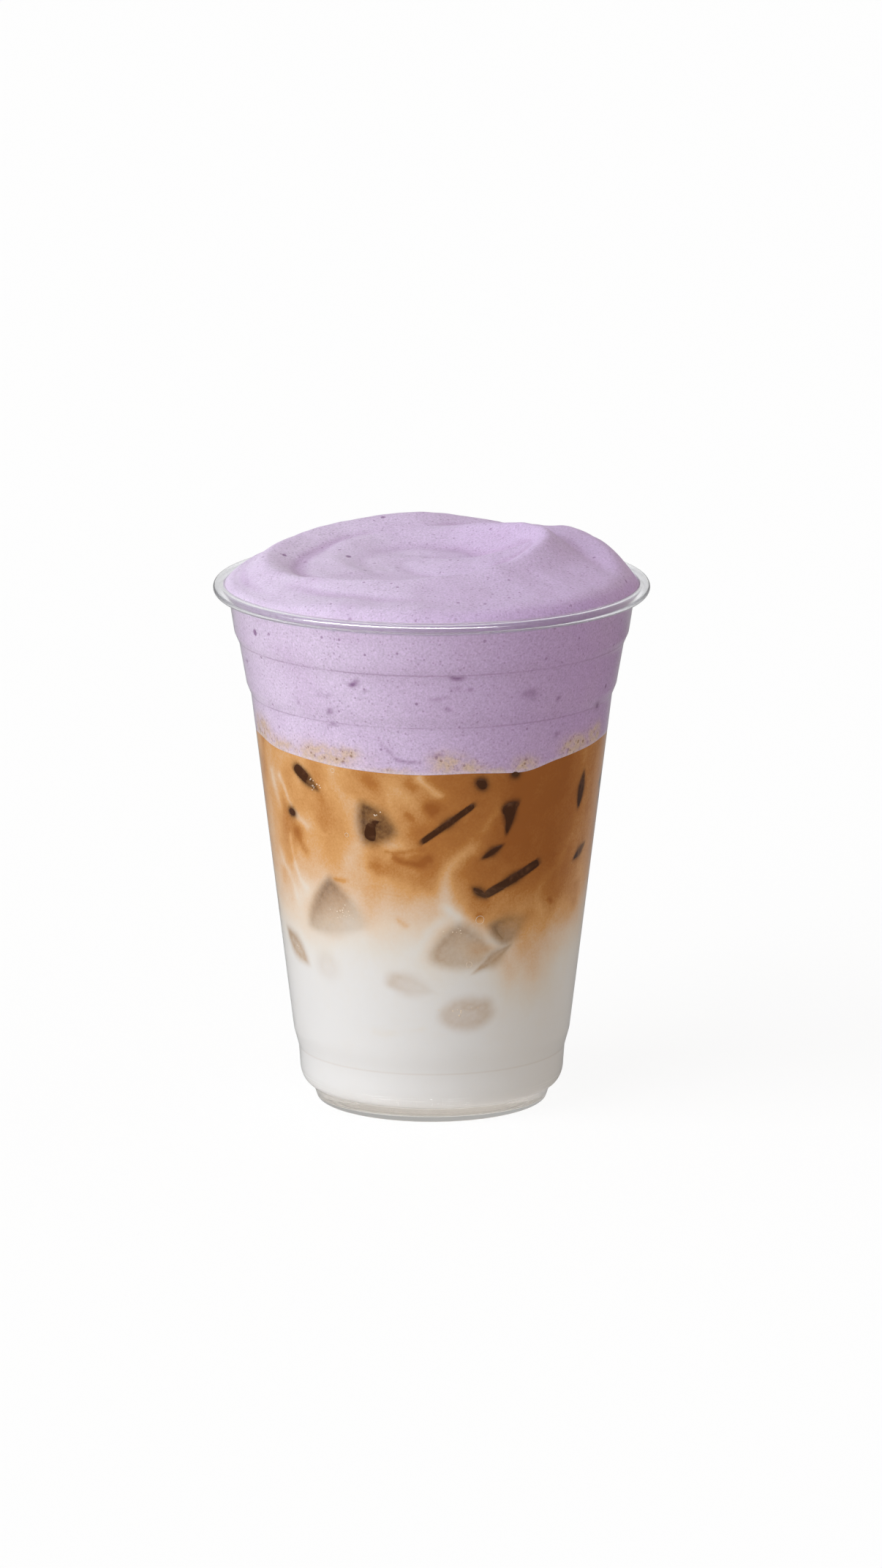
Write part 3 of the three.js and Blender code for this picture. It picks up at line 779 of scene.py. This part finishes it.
# The crest of the roll: angle from the right-hand side, anticlockwise; distance from the axis; height
# of the roll over the middle of the rim; height of the narrow peak on it.
CREST = np.array((
    (-55, 44.5, 0.0, 0.0), (-25, 41.5, 3.0, 0.0), (0, 39.0, 7.4, 0.0), (22, 36.5, 9.7, 0.0),
    (60, 33.5, 8.2, 0.0), (97, 31.5, 10.7, 0.0), (131, 33.0, 9.1, 0.1), (150, 35.0, 7.9, 0.2),
    (168, 36.8, 6.6, 0.3), (190, 36.5, 5.5, 0.4), (238, 29.5, 6.0, 0.6), (280, 25.0, 6.6, 0.8),
    (300, 24.2, 7.0, 1.2), (330, 24.6, 7.6, 2.4), (352, 25.8, 7.8, 4.2), (374, 25.4, 8.0, 4.2),
    (400, 24.6, 8.2, 3.0), (440, 23.6, 8.0, 1.0), (500, 24.0, 7.0, 0.2), (525, 22.3, 5.9, 0.0),
    (560, 18.6, 5.0, 0.0), (640, 18.0, 2.0, 0.0),
))
CREST_RATE = np.gradient(CREST, CREST[:, 0], axis=0)
CREASE = 0.6
ROLL_ROUNDING = 1.6
OUTER_SLOPE = 0.2
INNER_SLOPE = 0.2
INNER_BEND = 0.014
PEAK_REACH_OUT = 3.4
PEAK_REACH_IN = 5.0
# Where the roll's flanks are steeper or gentler: angle, spread and change of slope.
STEEP_LEFT = (168, 80, 0.6)
STEEP_FRONT = (265, 110, 0.5)
GENTLE_RIGHT = (5, 80, -0.2)
# The heart inside the roll, which rises to the back.
HEART_HEIGHT = 4.3
HEART_TILT = 0.045
HEART_BOW = 8.0
HEART_RADIUS = 26.0
HEART_FALL = 0.14
# The last fold, which curls from the heart to the tip: place in plan, and height over the rim.
FOLD = np.array((
    (-6.0, 11.0, 4.4), (-2.0, 4.5, 5.5), (4.0, -1.5, 6.5), (10.0, -2.6, 7.2), (16.0, -1.2, 8.2),
    (21.0, -0.2, 9.8), (25.2, 0.6, 11.5),
))
FOLD_STEPS = 40
FOLD_ROUNDING = 0.6
FOLD_CREASE = 0.25
FOLD_FRONT_SLOPE = 0.08
FOLD_FRONT_BEND = 0.012
FOLD_BACK_SLOPE = 0.35
FOLD_END_RADIUS = 27.0
FOLD_END_SLOPE = 2.0
# A shallow groove round the front of the skirt, and the skirt's edge at the rim.
GROOVE_ANGLE = 235
GROOVE_SPREAD = 75
GROOVE_RADIUS = 37.0
GROOVE_WIDTH = 2.6
GROOVE_DEPTH = 0.55
EDGE_RADIUS = 46.3
EDGE_HEIGHT = 0.7
EDGE_SLOPE = 1.3
EDGE_FULL_RIGHT = (0, 95, 0.3)
EDGE_ROUNDING = 0.06
EDGE_CREASE = 1.4
# Marks of the spoon: faint ridges that wind out through the heart, and an uneven skin.
RIDGE_PITCH = 4.6
RIDGE_HEIGHT = 0.1
RIDGE_RADIUS = 21.0
RIDGE_BREAKS = 12
RIDGE_EVEN = 0.6
UNEVEN = ((11, 0.12), (4.5, 0.04))
UNEVEN_FROM_EDGE = 4


def bump(x):
    """A smooth hump: 1 at 0, falling to 0 at -1 and 1."""
    share = np.clip(1 - np.abs(x), 0, 1)
    return share * share * (3 - 2 * share)


def rounded(x, rounding):
    """A distance from a crest, blunt near the crest."""
    return np.hypot(x, rounding) - rounding


def higher(a, b, crease):
    """The higher of two heights, with the crease between them rounded."""
    share = np.clip(0.5 + 0.5 * (a - b) / crease, 0, 1)
    return b + (a - b) * share + crease * share * (1 - share)


def crest_at(angle):
    """Distance, roll height and peak height along the path, smooth through the stations."""
    i = np.clip(np.searchsorted(CREST[:, 0], angle) - 1, 0, len(CREST) - 2)
    span = CREST[i + 1, 0] - CREST[i, 0]
    t = ((angle - CREST[i, 0]) / span)[..., None]
    bulge = span[..., None] * t * (1 - t) * ((1 - t) * CREST_RATE[i] - t * CREST_RATE[i + 1])
    return np.moveaxis(CREST[i] + (CREST[i + 1] - CREST[i]) * t * t * (3 - 2 * t) + bulge, -1, 0)[1:]


def slope_change(angle, *sides):
    """How much some sides of the cup change a flank's slope."""
    return sum(change * bump((angle - middle) / wide) for middle, wide, change in sides)


def roll_height(radius, angle):
    """Height of one turn of the roll about its crest."""
    crest, roll, peak = crest_at(angle)
    outside = radius > crest
    fall = rounded(radius - crest, ROLL_ROUNDING)
    outer = OUTER_SLOPE + slope_change(angle, STEEP_LEFT)
    inner = INNER_SLOPE + slope_change(angle, STEEP_FRONT, GENTLE_RIGHT) + INNER_BEND * fall
    reach = np.where(outside, PEAK_REACH_OUT, PEAK_REACH_IN)
    return roll - np.where(outside, outer, inner) * fall + peak * np.exp(-fall / reach)


def fold_height(x, y):
    """Height of the last fold: gentle in front of its crest and steeper behind."""
    path = smooth_path(FOLD, FOLD_STEPS)
    nearest = np.full(x.shape, np.inf)
    top = np.zeros(x.shape)
    side = np.zeros(x.shape)
    for (start_x, start_y, start_top), (end_x, end_y, end_top) in zip(path, path[1:]):
        along_x, along_y = end_x - start_x, end_y - start_y
        from_x, from_y = x - start_x, y - start_y
        share = np.clip((from_x * along_x + from_y * along_y) / (along_x ** 2 + along_y ** 2), 0, 1)
        away = np.hypot(from_x - share * along_x, from_y - share * along_y)
        closer = away < nearest
        nearest = np.where(closer, away, nearest)
        top = np.where(closer, start_top + (end_top - start_top) * share, top)
        side = np.where(closer, along_x * from_y - along_y * from_x, side)
    away = rounded(nearest, FOLD_ROUNDING)
    slope = np.where(side < 0, FOLD_FRONT_SLOPE + FOLD_FRONT_BEND * away, FOLD_BACK_SLOPE)
    past = np.clip(np.hypot(x, y) - FOLD_END_RADIUS, 0, None)
    return top - slope * away - FOLD_END_SLOPE * past


def swirl_height(radius, angle):
    """Height of the foam's top above the table."""
    x, y = radius * np.cos(angle), radius * np.sin(angle)
    degrees = np.degrees(angle) % 360
    height = HEART_HEIGHT + HEART_TILT * (y + np.hypot(y, HEART_BOW))
    height = height - HEART_FALL * np.clip(radius - HEART_RADIUS, 0, None)
    for turns in (-360, 0, 360):
        path = degrees + turns
        on_path = (path > CREST[0, 0]) & (path < CREST[-1, 0])
        height = higher(height, np.where(on_path, roll_height(radius, path), -cup_high.z), CREASE)
    height = higher(height, fold_height(x, y), FOLD_CREASE)
    groove = np.exp(-((radius - GROOVE_RADIUS) / GROOVE_WIDTH) ** 2)
    height = height - GROOVE_DEPTH * bump((degrees - GROOVE_ANGLE) / GROOVE_SPREAD) * groove
    inset = EDGE_RADIUS - radius
    fullness = EDGE_SLOPE + sum(slope_change(degrees - turns, EDGE_FULL_RIGHT) for turns in (0, 360))
    edge = EDGE_HEIGHT + fullness * inset / (1 + EDGE_ROUNDING * inset)
    return curl_middle[1] - higher(-height, -edge, EDGE_CREASE)


turn = np.linspace(0, 2 * np.pi, FOAM_STEPS, endpoint=False)
line = foam_line(turn)
side_height = line + (WALL[-1][1] - line) * np.linspace(0, 1, SIDE_ROWS)[:, None]
side_radius = wall_radius(side_height)
top_radius = np.repeat(np.arange(EDGE_RADIUS, TOP_ROW / 2, -TOP_ROW)[:, None], FOAM_STEPS, axis=1)
winding = np.sin(2 * np.pi * top_radius / RIDGE_PITCH - turn)
flat_place = ring_points(top_radius, 0, turn)
uneven = sum(high * drift(flat_place, size, seed=90 + i) for i, (size, high) in enumerate(UNEVEN))
breaks = drift(flat_place, RIDGE_BREAKS, seed=95).reshape(top_radius.shape)
breaks = RIDGE_EVEN + (1 - RIDGE_EVEN) * breaks
ridges = RIDGE_HEIGHT * winding * breaks * bump(top_radius / RIDGE_RADIUS)
away_from_edge = np.clip((EDGE_RADIUS - top_radius) / UNEVEN_FROM_EDGE, 0, 1)
top_height = swirl_height(top_radius, turn) + ridges + away_from_edge * uneven.reshape(top_radius.shape)
radius = np.vstack((side_radius[0] * CAP_SHARES, side_radius, top_radius))
height = np.vstack((TEA_LEVEL + (line - TEA_LEVEL) * CAP_SHARES, side_height, top_height))
poles = [(0, 0, TEA_LEVEL), (0, 0, float(top_height[-1].mean()))]
points = np.vstack((ring_points(radius, height, turn), poles))
foam = piece_from("taro_cream", points, ring_faces(len(radius), FOAM_STEPS))
foam.data.set_sharp_from_angle(angle=math.radians(60))

# Dark clots of taro in the foam on the wall: angle, height, width, height of the clot, and strength.
CLOTS = (
    (-24, 103.5, 2.8, 1.1, 0.9), (7, 105.6, 3.4, 0.9, 0.8), (8, 103.1, 2.2, 1.7, 0.3),
    (12, 102.8, 1.2, 1, 0.6), (31, 100.4, 4.0, 2.4, 0.45), (42, 98.7, 1.3, 1.2, 0.8),
    (65, 93.9, 2.6, 1.8, 1.0), (5, 98.4, 1.4, 0.8, 0.7), (-33, 96.1, 2.0, 2.2, 0.55),
    (-32, 93.4, 4.2, 0.9, 0.5), (2, 100.7, 3.6, 0.8, 0.35), (44, 90, 1.6, 1.2, 0.5),
    (-34, 100.4, 4, 1.4, 0.25), (-20, 102.1, 1.4, 0.8, 0.4), (-45, 97.3, 1.2, 1.1, 0.4),
    (-7.2, 85.8, 0.8, 0.8, 0.6), (-28.3, 86.8, 2.4, 1.6, 0.6), (2.2, 87, 2.2, 1.8, 0.6),
    (32.2, 84.8, 1.7, 1.6, 0.5), (100, 98, 3, 1.4, 0.6), (128, 92, 1.6, 1.4, 0.7), (160, 102, 3, 1, 0.6),
    (188, 95, 2, 2, 0.6), (215, 100, 1.4, 1.2, 0.8), (236, 91, 3, 1, 0.5), (262, 97, 2, 1.6, 0.6),
    (285, 103, 1.6, 1, 0.7),
)
CLOT_SMEAR = ((-16, 89.8), (-13, 87.5), (-9, 85.9), (-4, 85.7))
CLOT_SMEAR_WIDTH = 0.45
CLOT_SMEAR_STRENGTH = 0.5
CLOT_EDDIES = ((4, 0.3), (1.6, 0.15))
# Tea that has seeped up into the foam, in the same way.
SEEPS = (
    (-72, 87.2, 10, 6, 1.6), (-58, 85.6, 10, 3.6, 1.5), (-38, 85.4, 16, 5.0, 1.5), (-28, 86.4, 6, 3.6, 1.2),
    (5, 85.6, 7, 4.6, 1.3), (11, 84.4, 8, 2.6, 1.2), (32, 83.8, 6, 3.4, 1.2), (54, 86.2, 9, 4.4, 1.6),
    (66, 87.0, 7, 4.4, 1.4), (-14, 83.4, 10, 1.6, 0.8), (20, 83.2, 10, 1.4, 0.8),
    (105, 86.0, 10, 3.4, 0.9), (150, 85.0, 8, 3.6, 0.9), (196, 85.4, 11, 3.4, 0.95), (232, 85.0, 6, 3.4, 0.9),
    (268, 86.2, 9, 3.6, 0.9),
)


def patches(points, places):
    """How strongly soft oval patches on the wall cover each point."""
    covered = np.zeros(len(points))
    for angle, height, width, tall, amount in places:
        middle = on_wall(angle, height)
        aside = np.linalg.norm((points - middle)[:, :2], axis=1)
        oval = (2 * aside / width) ** 2 + (2 * (points[:, 2] - height) / tall) ** 2
        covered = np.maximum(covered, amount * np.exp(-oval))
    return covered


def swirl_at(x, y):
    """Height of the foam's top over a place in plan."""
    return swirl_height(np.hypot(x, y), np.arctan2(y, x))


points = mesh_points(foam)
loose = carried(points, CLOT_EDDIES, seed=80)
smear = np.exp(-(path_distance(loose, CLOT_SMEAR) / CLOT_SMEAR_WIDTH) ** 2)
above_line = points[:, 2] - foam_line(np.arctan2(points[:, 1], points[:, 0]))
point_values(foam, "clot", np.maximum(patches(loose, CLOTS), CLOT_SMEAR_STRENGTH * smear))
point_values(foam, "seep", np.clip(patches(loose, SEEPS), 0, 1))
point_values(foam, "above_line", above_line)

# Creases of the top: how far a place lies below the foam round it, for painted shade in the creases.
CREASE_REACH = 3.5
CREASE_WAYS = 8
x, y, _ = flat_place.T
ways = np.linspace(0, 2 * np.pi, CREASE_WAYS, endpoint=False)
around = [swirl_at(x + CREASE_REACH * np.cos(way), y + CREASE_REACH * np.sin(way)) for way in ways]
hollow = np.zeros(len(points))
hollow[-len(x) - len(poles):-len(poles)] = (np.mean(around, axis=0) - swirl_at(x, y)) * away_from_edge.ravel()
point_values(foam, "hollow", hollow)

TARO_LIT = (0.627, 0.522, 0.682, 1)
TARO_SHADED_RIGHT = (0.452, 0.306, 0.534, 1)
TARO_CLOUD_AND_CREASE_SHADE = (0.48, 0.345, 0.525, 1)
TARO_DARK_AND_SHADE = (0.22, 0.11, 0.24, 1)
SEEPED = (0.56, 0.41, 0.335, 1)
SEEP_SPOT = (0.24, 0.125, 0.065, 1)
PALE_LINE = (0.78, 0.68, 0.70, 1)
PALE_LINE_HEIGHT = 1.1
PALE_LINE_SHARE = 0.35
# Painted shade: thin, broken dark lines on the foam where the sheet bends at its two ledges.
LEDGE_SHADE_LINES = (106.2, 93.7)
LEDGE_LINE_WIDTH = 0.3
LEDGE_BREAKS = 6
LEDGE_SHADE = (0.15, 0.42)
# Pores in the foam, painted dark for the shade inside them, and spots of tea where it has seeped in:
# spacing, size, share of the cells that have one, and darkness.
SHADED_PORES = ((0.75, 0.36, 0.7, 0.32), (1.9, 0.5, 0.35, 0.6), (7.0, 1.1, 0.5, 0.85))
SEEP_SPOTS = (0.9, 0.55, 0.7, 0.8)
PORE_SOFTNESS = 0.4
CLOT_DARKNESS = 1.25
# Painted light and shade: the foam is painted paler on the left, towards the key light, and darker to
# the right, less so on its top.
LIT_SIDE = -38
SHADED_SIDE = 42
TOP_LEVELS = (119, 122)
TOP_SHARE = 0.6
CREASE_SHADE_DEPTH = 0.45
CREASE_SHADE = 0.85
CLOUD_SIZE = 9
CLOUD_SHADE = 0.4
SEEP_BREAKS = 1.8
GRAIN_SIZE = 0.45
GRAIN_CONTRAST = 0.7
FOAM_ROUGHNESS = (0.7, 0.85)


def pores(tree, place, spacing, size, share, darkness):
    """Mask of round pores: one to a cell of the given spacing, in a share of the cells."""
    cell = add(tree, "ShaderNodeTexVoronoi", {"Vector": place, "Scale": 1 / (spacing * MM)}).outputs
    by_chance = add(tree, "ShaderNodeSeparateColor", {0: cell["Color"]}).outputs
    reach = math_node(tree, "MULTIPLY", by_chance[1], size / spacing)
    inside = math_node(tree, "SUBTRACT", reach, cell["Distance"])
    soft = spread(tree, inside, 0, PORE_SOFTNESS * size / spacing, 0, darkness)
    return math_node(tree, "MULTIPLY", soft, math_node(tree, "LESS_THAN", by_chance[0], share))


whipped, tree, place, surface = new_material("whipped_taro")
# Painted shade: the pores are painted dark as well as dented. The clots are the taro's own dark colour.
pore_shade_and_dents = 0
for kind in SHADED_PORES:
    pore_shade_and_dents = math_node(tree, "MAXIMUM", pore_shade_and_dents, pores(tree, place, *kind))
clots = math_node(tree, "MULTIPLY", stored(tree, "clot"), CLOT_DARKNESS)
darkness = math_node(tree, "MAXIMUM", pore_shade_and_dents, clots)
# Painted shade along the ledges.
broken_ledge_shade = spread(tree, noise(tree, place, LEDGE_BREAKS, Detail=3), 0.3, 0.6, *LEDGE_SHADE)
for ledge in LEDGE_SHADE_LINES:
    line = math_node(tree, "MULTIPLY", painted_shade_line(tree, place, ledge, LEDGE_LINE_WIDTH), broken_ledge_shade)
    darkness = math_node(tree, "MAXIMUM", darkness, line)
# Painted light and shade: paler towards the key light on the left, darker to the right.
across = add(tree, "ShaderNodeSeparateXYZ", {0: place}).outputs["X"]
on_top = level_share(tree, place, *TOP_LEVELS)
side_shade = spread(tree, across, LIT_SIDE * MM, SHADED_SIDE * MM)
side_shade = math_node(tree, "MULTIPLY", side_shade, spread(tree, on_top, 0, 1, 1, TOP_SHARE))
tint = blend(tree, side_shade, TARO_LIT, TARO_SHADED_RIGHT)
# Painted shade: the creases of the top are painted darker, the deeper the darker.
crease = spread(tree, stored(tree, "hollow"), 0, CREASE_SHADE_DEPTH, 0, CREASE_SHADE)
tint = blend(tree, crease, tint, TARO_CLOUD_AND_CREASE_SHADE)
cloud = spread(tree, noise(tree, place, CLOUD_SIZE, Detail=4), 0.35, 0.8, 0, CLOUD_SHADE)
tint = blend(tree, cloud, tint, TARO_CLOUD_AND_CREASE_SHADE)
tint = blend(tree, darkness, tint, TARO_DARK_AND_SHADE)
seeped = blend(tree, pores(tree, place, *SEEP_SPOTS), SEEPED, SEEP_SPOT)
patchy = spread(tree, noise(tree, place, SEEP_BREAKS, Detail=3), 0.3, 0.6, 0.4, 1)
tint = blend(tree, math_node(tree, "MULTIPLY", stored(tree, "seep"), patchy), tint, seeped)
edge = spread(tree, stored(tree, "above_line"), PALE_LINE_HEIGHT, 0, 0, PALE_LINE_SHARE)
tint = blend(tree, edge, tint, PALE_LINE)
grain = noise(tree, place, GRAIN_SIZE, Detail=2)
grain = math_node(tree, "MULTIPLY_ADD", grain, GRAIN_CONTRAST, 1 - GRAIN_CONTRAST / 2)
shade = add(tree, "ShaderNodeCombineColor", {0: grain, 1: grain, 2: grain}).outputs[0]
graining = add(tree, "ShaderNodeMix", {0: 1.0, 6: tint, 7: shade}, data_type="RGBA", blend_type="MULTIPLY")
relief = math_node(tree, "MULTIPLY_ADD", grain, 0.4, math_node(tree, "MULTIPLY", pore_shade_and_dents, -1))
dents = add(tree, "ShaderNodeBump", {"Height": relief, "Strength": 0.3, "Distance": 0.3 * MM})
cream = add(tree, "ShaderNodeBsdfPrincipled", {
    "Base Color": graining.outputs[2],
    "Roughness": spread(tree, noise(tree, place, 2), *NOISE_RANGE, *FOAM_ROUGHNESS),
    "Specular IOR Level": 0.2,
    "Normal": dents.outputs[0],
    "Subsurface Weight": 0.4,
    "Subsurface Radius": (1, 1, 1),
    "Subsurface Scale": 1.2 * MM,
})
tree.links.new(cream.outputs[0], surface)
foam.data.materials.append(whipped)
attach(foam, "root")
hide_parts("taro_foam")

# Table and light
# A white table in a bright room. A soft key light stands low on the left in front, a warm fill on the
# right, and a strip in front draws the line of light on the rim. What the clear sheet mirrors is dim.
TABLE = 6.0
TABLE_GLOW = 0.88
TABLE_BOUNCE = (0.74, 0.70, 0.65, 1)
TABLE_MIRRORED = (0.13, 0.32)
TABLE_THROUGH = (0.5, 1.0)
TABLE_BEHIND = (-25, 60)
TABLE_ASIDE = (110, 240)
# Painted light: round the foot the table glows, lighting the cup's underside. Seen through the foot, the
# table there is painted in shade.
UNDER_FOOT_GLOW = (0.72, 0.71, 0.69, 1)
UNDER_FOOT_REACH = (26, 36)
ROUND_FOOT_REACH = (60, 110)
ROUND_FOOT_WHITE = 0.55
FOOT_SHADE = 0.2
KEY_FROM = Vector((-0.76, -0.51, 0.41))
KEY_ENERGY = 2.72
KEY_COLOUR = (0.97, 1.0, 1.03)
KEY_SIZE = 60
FILL_FROM = Vector((0.95, 0.12, 0.27))
FILL_ENERGY = 0.66
FILL_COLOUR = (1.0, 0.82, 0.62)
FILL_SIZE = 90
STRIP_FROM = Vector((-0.25, -0.72, 0.65))
STRIP_AWAY = 1.3
STRIP_SIZE = (2.8, 0.3)
STRIP_POWER = 130
ROOM_GLOW = 0.49
BACKDROP_SPREAD = (0.55, 0.85)

corners = np.array(((-1, -1, 0), (1, -1, 0), (1, 1, 0), (-1, 1, 0)))
table = piece_from("table", corners * TABLE / MM, [(0, 1, 2, 3)])
white_table, tree, place, surface = new_material("white_table")
ray = add(tree, "ShaderNodeLightPath").outputs
across, along, _ = add(tree, "ShaderNodeSeparateXYZ", {0: place}).outputs
from_axis = add(tree, "ShaderNodeVectorMath", {0: place}, operation="LENGTH").outputs["Value"]
under_foot = spread(tree, from_axis, UNDER_FOOT_REACH[1] * MM, UNDER_FOOT_REACH[0] * MM)
behind = spread(tree, along, TABLE_BEHIND[0] * MM, TABLE_BEHIND[1] * MM)
aside = spread(tree, math_node(tree, "ABSOLUTE", across), TABLE_ASIDE[0] * MM, TABLE_ASIDE[1] * MM)
middle = math_node(tree, "MULTIPLY", behind, math_node(tree, "SUBTRACT", 1, aside))
round_foot = spread(tree, from_axis, ROUND_FOOT_REACH[1] * MM, ROUND_FOOT_REACH[0] * MM, 0, ROUND_FOOT_WHITE)
in_foot_shade = math_node(tree, "MULTIPLY_ADD", under_foot, FOOT_SHADE - 1, 1)
white_through = math_node(tree, "MULTIPLY", math_node(tree, "MAXIMUM", middle, round_foot), in_foot_shade)
white_mirrored = math_node(tree, "MAXIMUM", middle, under_foot)
white_through = spread(tree, white_through, 0, 1, *TABLE_THROUGH)
through = math_node(tree, "MULTIPLY", ray["Is Transmission Ray"], white_through)
only_mirrored = math_node(tree, "SUBTRACT", ray["Is Glossy Ray"], ray["Is Transmission Ray"])
white_mirrored = spread(tree, white_mirrored, 0, 1, *TABLE_MIRRORED)
mirrored = math_node(tree, "MULTIPLY", only_mirrored, white_mirrored)
shown = math_node(tree, "MAXIMUM", ray["Is Camera Ray"], math_node(tree, "MAXIMUM", through, mirrored))
lights = ray["Is Diffuse Ray"]
# The glow round the foot is painted light from no lamp.
table_top = add(tree, "ShaderNodeBsdfPrincipled", {
    "Base Color": blend(tree, lights, math_node(tree, "MULTIPLY", shown, 1 - TABLE_GLOW), TABLE_BOUNCE),
    "Roughness": 0.9,
    "Specular IOR Level": 0.0,
    "Emission Color": blend(tree, lights, math_node(tree, "MULTIPLY", shown, TABLE_GLOW),
                            blend(tree, under_foot, (0, 0, 0, 1), UNDER_FOOT_GLOW)),
    "Emission Strength": 1.0,
})
tree.links.new(table_top.outputs[0], surface)
table.data.materials.append(white_table)


def lamp(name, kind, come_from, energy, colour):
    """A new light that shines from a direction towards the cup."""
    made = bpy.data.objects.new(name, bpy.data.lights.new(name, kind))
    made.data.energy = energy
    made.data.color = colour
    made.rotation_euler = come_from.to_track_quat("Z", "Y").to_euler()
    bpy.context.collection.objects.link(made)
    return made


key = lamp("key", "SUN", KEY_FROM, KEY_ENERGY, KEY_COLOUR)
key.data.angle = math.radians(KEY_SIZE)
key.visible_glossy = False
fill = lamp("fill", "SUN", FILL_FROM, FILL_ENERGY, FILL_COLOUR)
fill.data.angle = math.radians(FILL_SIZE)
fill.visible_glossy = False
strip = lamp("strip", "AREA", STRIP_FROM, STRIP_POWER, (1, 1, 1))
strip.data.shape = "RECTANGLE"
strip.data.size, strip.data.size_y = STRIP_SIZE
strip.location = VIEW_AIM + STRIP_AWAY * STRIP_FROM
strip.visible_diffuse = False
strip.visible_transmission = False
strip.visible_camera = False

room = bpy.data.worlds.new("room")
room.use_nodes = True
bpy.context.scene.world = room
tree = room.node_tree
tree.nodes.clear()
glow = add(tree, "ShaderNodeBackground", {"Color": (1, 1, 1, 1), "Strength": ROOM_GLOW})
backdrop = add(tree, "ShaderNodeBackground", {"Color": (1, 1, 1, 1), "Strength": 1.0})
ray = add(tree, "ShaderNodeLightPath").outputs
direction = add(tree, "ShaderNodeTexCoord").outputs["Generated"]
backwards = add(tree, "ShaderNodeSeparateXYZ", {0: direction}).outputs["Y"]
through = math_node(tree, "MAXIMUM", ray["Is Transmission Ray"], ray["Is Glossy Ray"])
through = math_node(tree, "MULTIPLY", through, spread(tree, backwards, *BACKDROP_SPREAD))
seen = math_node(tree, "MAXIMUM", ray["Is Camera Ray"], through)
both = add(tree, "ShaderNodeMixShader", {0: seen, 1: glow.outputs[0], 2: backdrop.outputs[0]})
tree.links.new(both.outputs[0], add(tree, "ShaderNodeOutputWorld").inputs["Surface"])
bpy.context.scene.view_settings.view_transform = "Standard"
